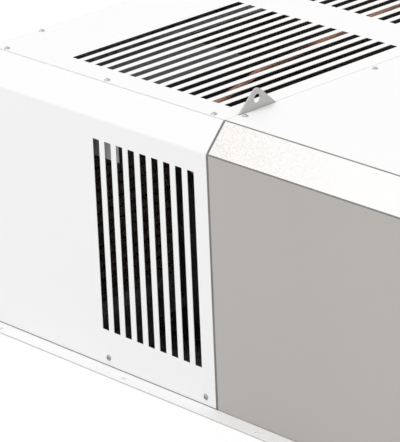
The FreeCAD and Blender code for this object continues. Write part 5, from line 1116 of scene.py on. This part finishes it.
def make_return_bends():
    """End plates as they are, with round bends and stubs in place of the solids' plain ones."""
    source = copied("evaporator_tubes")
    work = bmesh.new()
    bends = []
    for island in separate_solids(source):
        low, high = corners_of(island)
        if high.z - low.z > 0.2:  # an end plate
            plate = block(low, high)
            rounded(plate, sharp_edges(plate), 0.0003, 2)
            put(work, plate, None, 0)
            continue
        side = REAR if low.y > 0 else FRONT
        bends.append((low * 1000, high * 1000, side))
    source.free()
    for low, high, side in bends:
        out = max(abs(low.y), abs(high.y))
        across, up = high.x - low.x, high.z - low.z
        if max(across, up) < 20:  # a straight stub
            stub = bar(6, -1, 10, 20)
            middle = (low + high) * 0.0005
            put(work, stub, aim((middle.x, 0.442 * side, middle.z), Y * side), 1)
            continue
        radius = 5.5
        ends = [(low.x + radius, low.z + radius), (high.x - radius, high.z - radius)]
        if across > up:
            ends = [(low.x + radius, (low.z + high.z) / 2), (high.x - radius, (low.z + high.z) / 2)]
        far = out - radius
        span = max(across, up) - 2 * radius
        route = [(ends[0][0], 440.5 * side, ends[0][1]), (ends[0][0], far * side, ends[0][1]),
                 (ends[1][0], far * side, ends[1][1]), (ends[1][0], 440.5 * side, ends[1][1])]
        put(work, bent_pipe(route, radius, min(span / 2 - 0.6, far - 441.5), 4), None, 1)
        for x, z in ends:
            cuff = turned([(0, 5.6), (0, 6.6), (2.5, 6.6), (3.2, 5.6)], 20, loop=True)
            put(work, cuff, aim((x * 0.001, 0.442 * side, z * 0.001), Y * side), 1)
    finish(work, "evaporator_end_plates", [ZINC, COPPER], "evaporator_tubes")


def make_expansion_valve():
    """Hexagonal valve with its round head, and the thin tubes from its spreader to the coil."""
    body = hexagon(0.013, 0.060, 0.0008)
    neck = bar(8, 0, 14, 28)
    head = turned([(0, 0), (0, 15), (1.5, 20), (4, 21.6), (4.4, 22), (5.6, 22), (6, 21.6),
                   (8.5, 18), (10, 10), (10, 0)], 48)
    spreader = turned([(0, 0), (0, 7), (3, 9.5), (7, 11), (15, 11), (18, 9), (18, 0)], 32)
    collar = turned([(0, 0), (0, 9.6), (4, 9.6), (5, 8.4), (5, 0)], 28)
    work = several(
        (body, aim(VALVE, Z), 0), (neck, aim((VALVE.x, 0.422, 0.310), Y), 0),
        (head, aim((VALVE.x, 0.413, 0.310), Y), 2),
        (spreader, aim((VALVE.x, VALVE.y, 0.262), Z), 0),
        (collar, aim((VALVE.x, VALVE.y, 0.3395), Z), 0),
    )
    for up in (101.5, 195.5, 289.5, 383.5):
        way = 271 + (up - 271) * 0.35
        thin = bent_pipe([(231, 447, 270), (252, 456, way), (291.5, 457.5, up),
                          (291.5, 449, up)], 2.5, 5, 3)
        put(work, thin, None, 1)
    finish(work, "expansion_valve_set", [BRASS, COPPER, BLACK_SHELL], "expansion_valve",
           sharp=30.0)


# Room, light and camera


def seen_rays(tree):
    """One for rays from the camera, a glossy surface or through glass, none for others."""
    path = tree.nodes.new("ShaderNodeLightPath")
    last = path.outputs["Is Camera Ray"]
    for name in ("Is Glossy Ray", "Is Transmission Ray"):
        either = tree.nodes.new("ShaderNodeMath")
        either.operation = "MAXIMUM"
        tree.links.new(last, either.inputs[0])
        tree.links.new(path.outputs[name], either.inputs[1])
        last = either.outputs[0]
    return last


def blend_shaders(tree, factor, first, second, output):
    """The first shader where the factor is none and the second where it is one."""
    mix = tree.nodes.new("ShaderNodeMixShader")
    for source, socket in zip((factor, first.outputs[0], second.outputs[0]), mix.inputs):
        tree.links.new(source, socket)
    tree.links.new(mix.outputs[0], tree.nodes[output].inputs["Surface"])


def make_floor():
    """Pale floor that shows near white and keeps the unit's shadow."""
    bpy.ops.mesh.primitive_plane_add(size=60.0, location=(0, 0, -0.0005))
    floor = bpy.context.object
    floor.name = "studio_floor"
    material = bpy.data.materials.new("pale_floor")
    material.use_nodes = True
    tree = material.node_tree
    shader = tree.nodes["Principled BSDF"]
    shader.inputs["Base Color"].default_value = (0.86, 0.86, 0.86, 1)
    shader.inputs["Roughness"].default_value = 0.9
    glow = tree.nodes.new("ShaderNodeEmission")
    glow.inputs["Strength"].default_value = 1.05
    share = tree.nodes.new("ShaderNodeMath")
    share.operation = "MULTIPLY"
    share.inputs[1].default_value = 0.8
    tree.links.new(seen_rays(tree), share.inputs[0])
    blend_shaders(tree, share.outputs[0], shader, glow, "Material Output")
    floor.data.materials.append(material)


def make_world():
    """Soft light on the unit, and white behind it."""
    world = bpy.data.worlds.new("studio")
    bpy.context.scene.world = world
    world.use_nodes = True
    tree = world.node_tree
    soft, white = tree.nodes["Background"], tree.nodes.new("ShaderNodeBackground")
    for background, strength in ((soft, 0.85), (white, 1.0)):
        background.inputs["Color"].default_value = (1.0, 1.0, 1.0, 1)
        background.inputs["Strength"].default_value = strength
    blend_shaders(tree, seen_rays(tree), soft, white, "World Output")


def make_lamp():
    """Broad light from the front left, above."""
    lamp = bpy.data.lights.new("key", "SUN")
    lamp.energy = 0.76
    lamp.angle = math.radians(20)
    key = bpy.data.objects.new("key", lamp)
    bpy.context.scene.collection.objects.link(key)
    towards = Vector((0.30, 0.35, -0.89))
    key.rotation_mode = "QUATERNION"
    key.rotation_quaternion = towards.to_track_quat("-Z", "Y")


def make_camera():
    """The photograph's viewpoint."""
    place, lens = (3.4312, -4.0206, 2.3814), 262.536
    heading, down, roll = (math.radians(angle) for angle in (47.2033, 21.7331, 2.4194))
    camera = bpy.data.objects.new("camera", bpy.data.cameras.new("camera"))
    bpy.context.scene.collection.objects.link(camera)
    camera.data.sensor_width = 36
    camera.data.lens = lens
    camera.data.clip_start = 0.05
    camera.data.clip_end = 100
    turn = (
        Matrix.Rotation(heading, 4, "Z")
        @ Matrix.Rotation(math.pi / 2 - down, 4, "X")
        @ Matrix.Rotation(-roll, 4, "Z")
    )
    camera.matrix_world = Matrix.Translation(place) @ turn
    bpy.context.scene.camera = camera


make_camera()
make_floor()
make_world()
make_lamp()
make_casing()
make_screws()
make_fans()
make_coil()
make_compressor()
make_receiver()
make_pipes()
make_electrical()
make_main_switch()
make_cable_glands()
make_evaporator()
bpy.context.scene.view_settings.view_transform = "Standard"
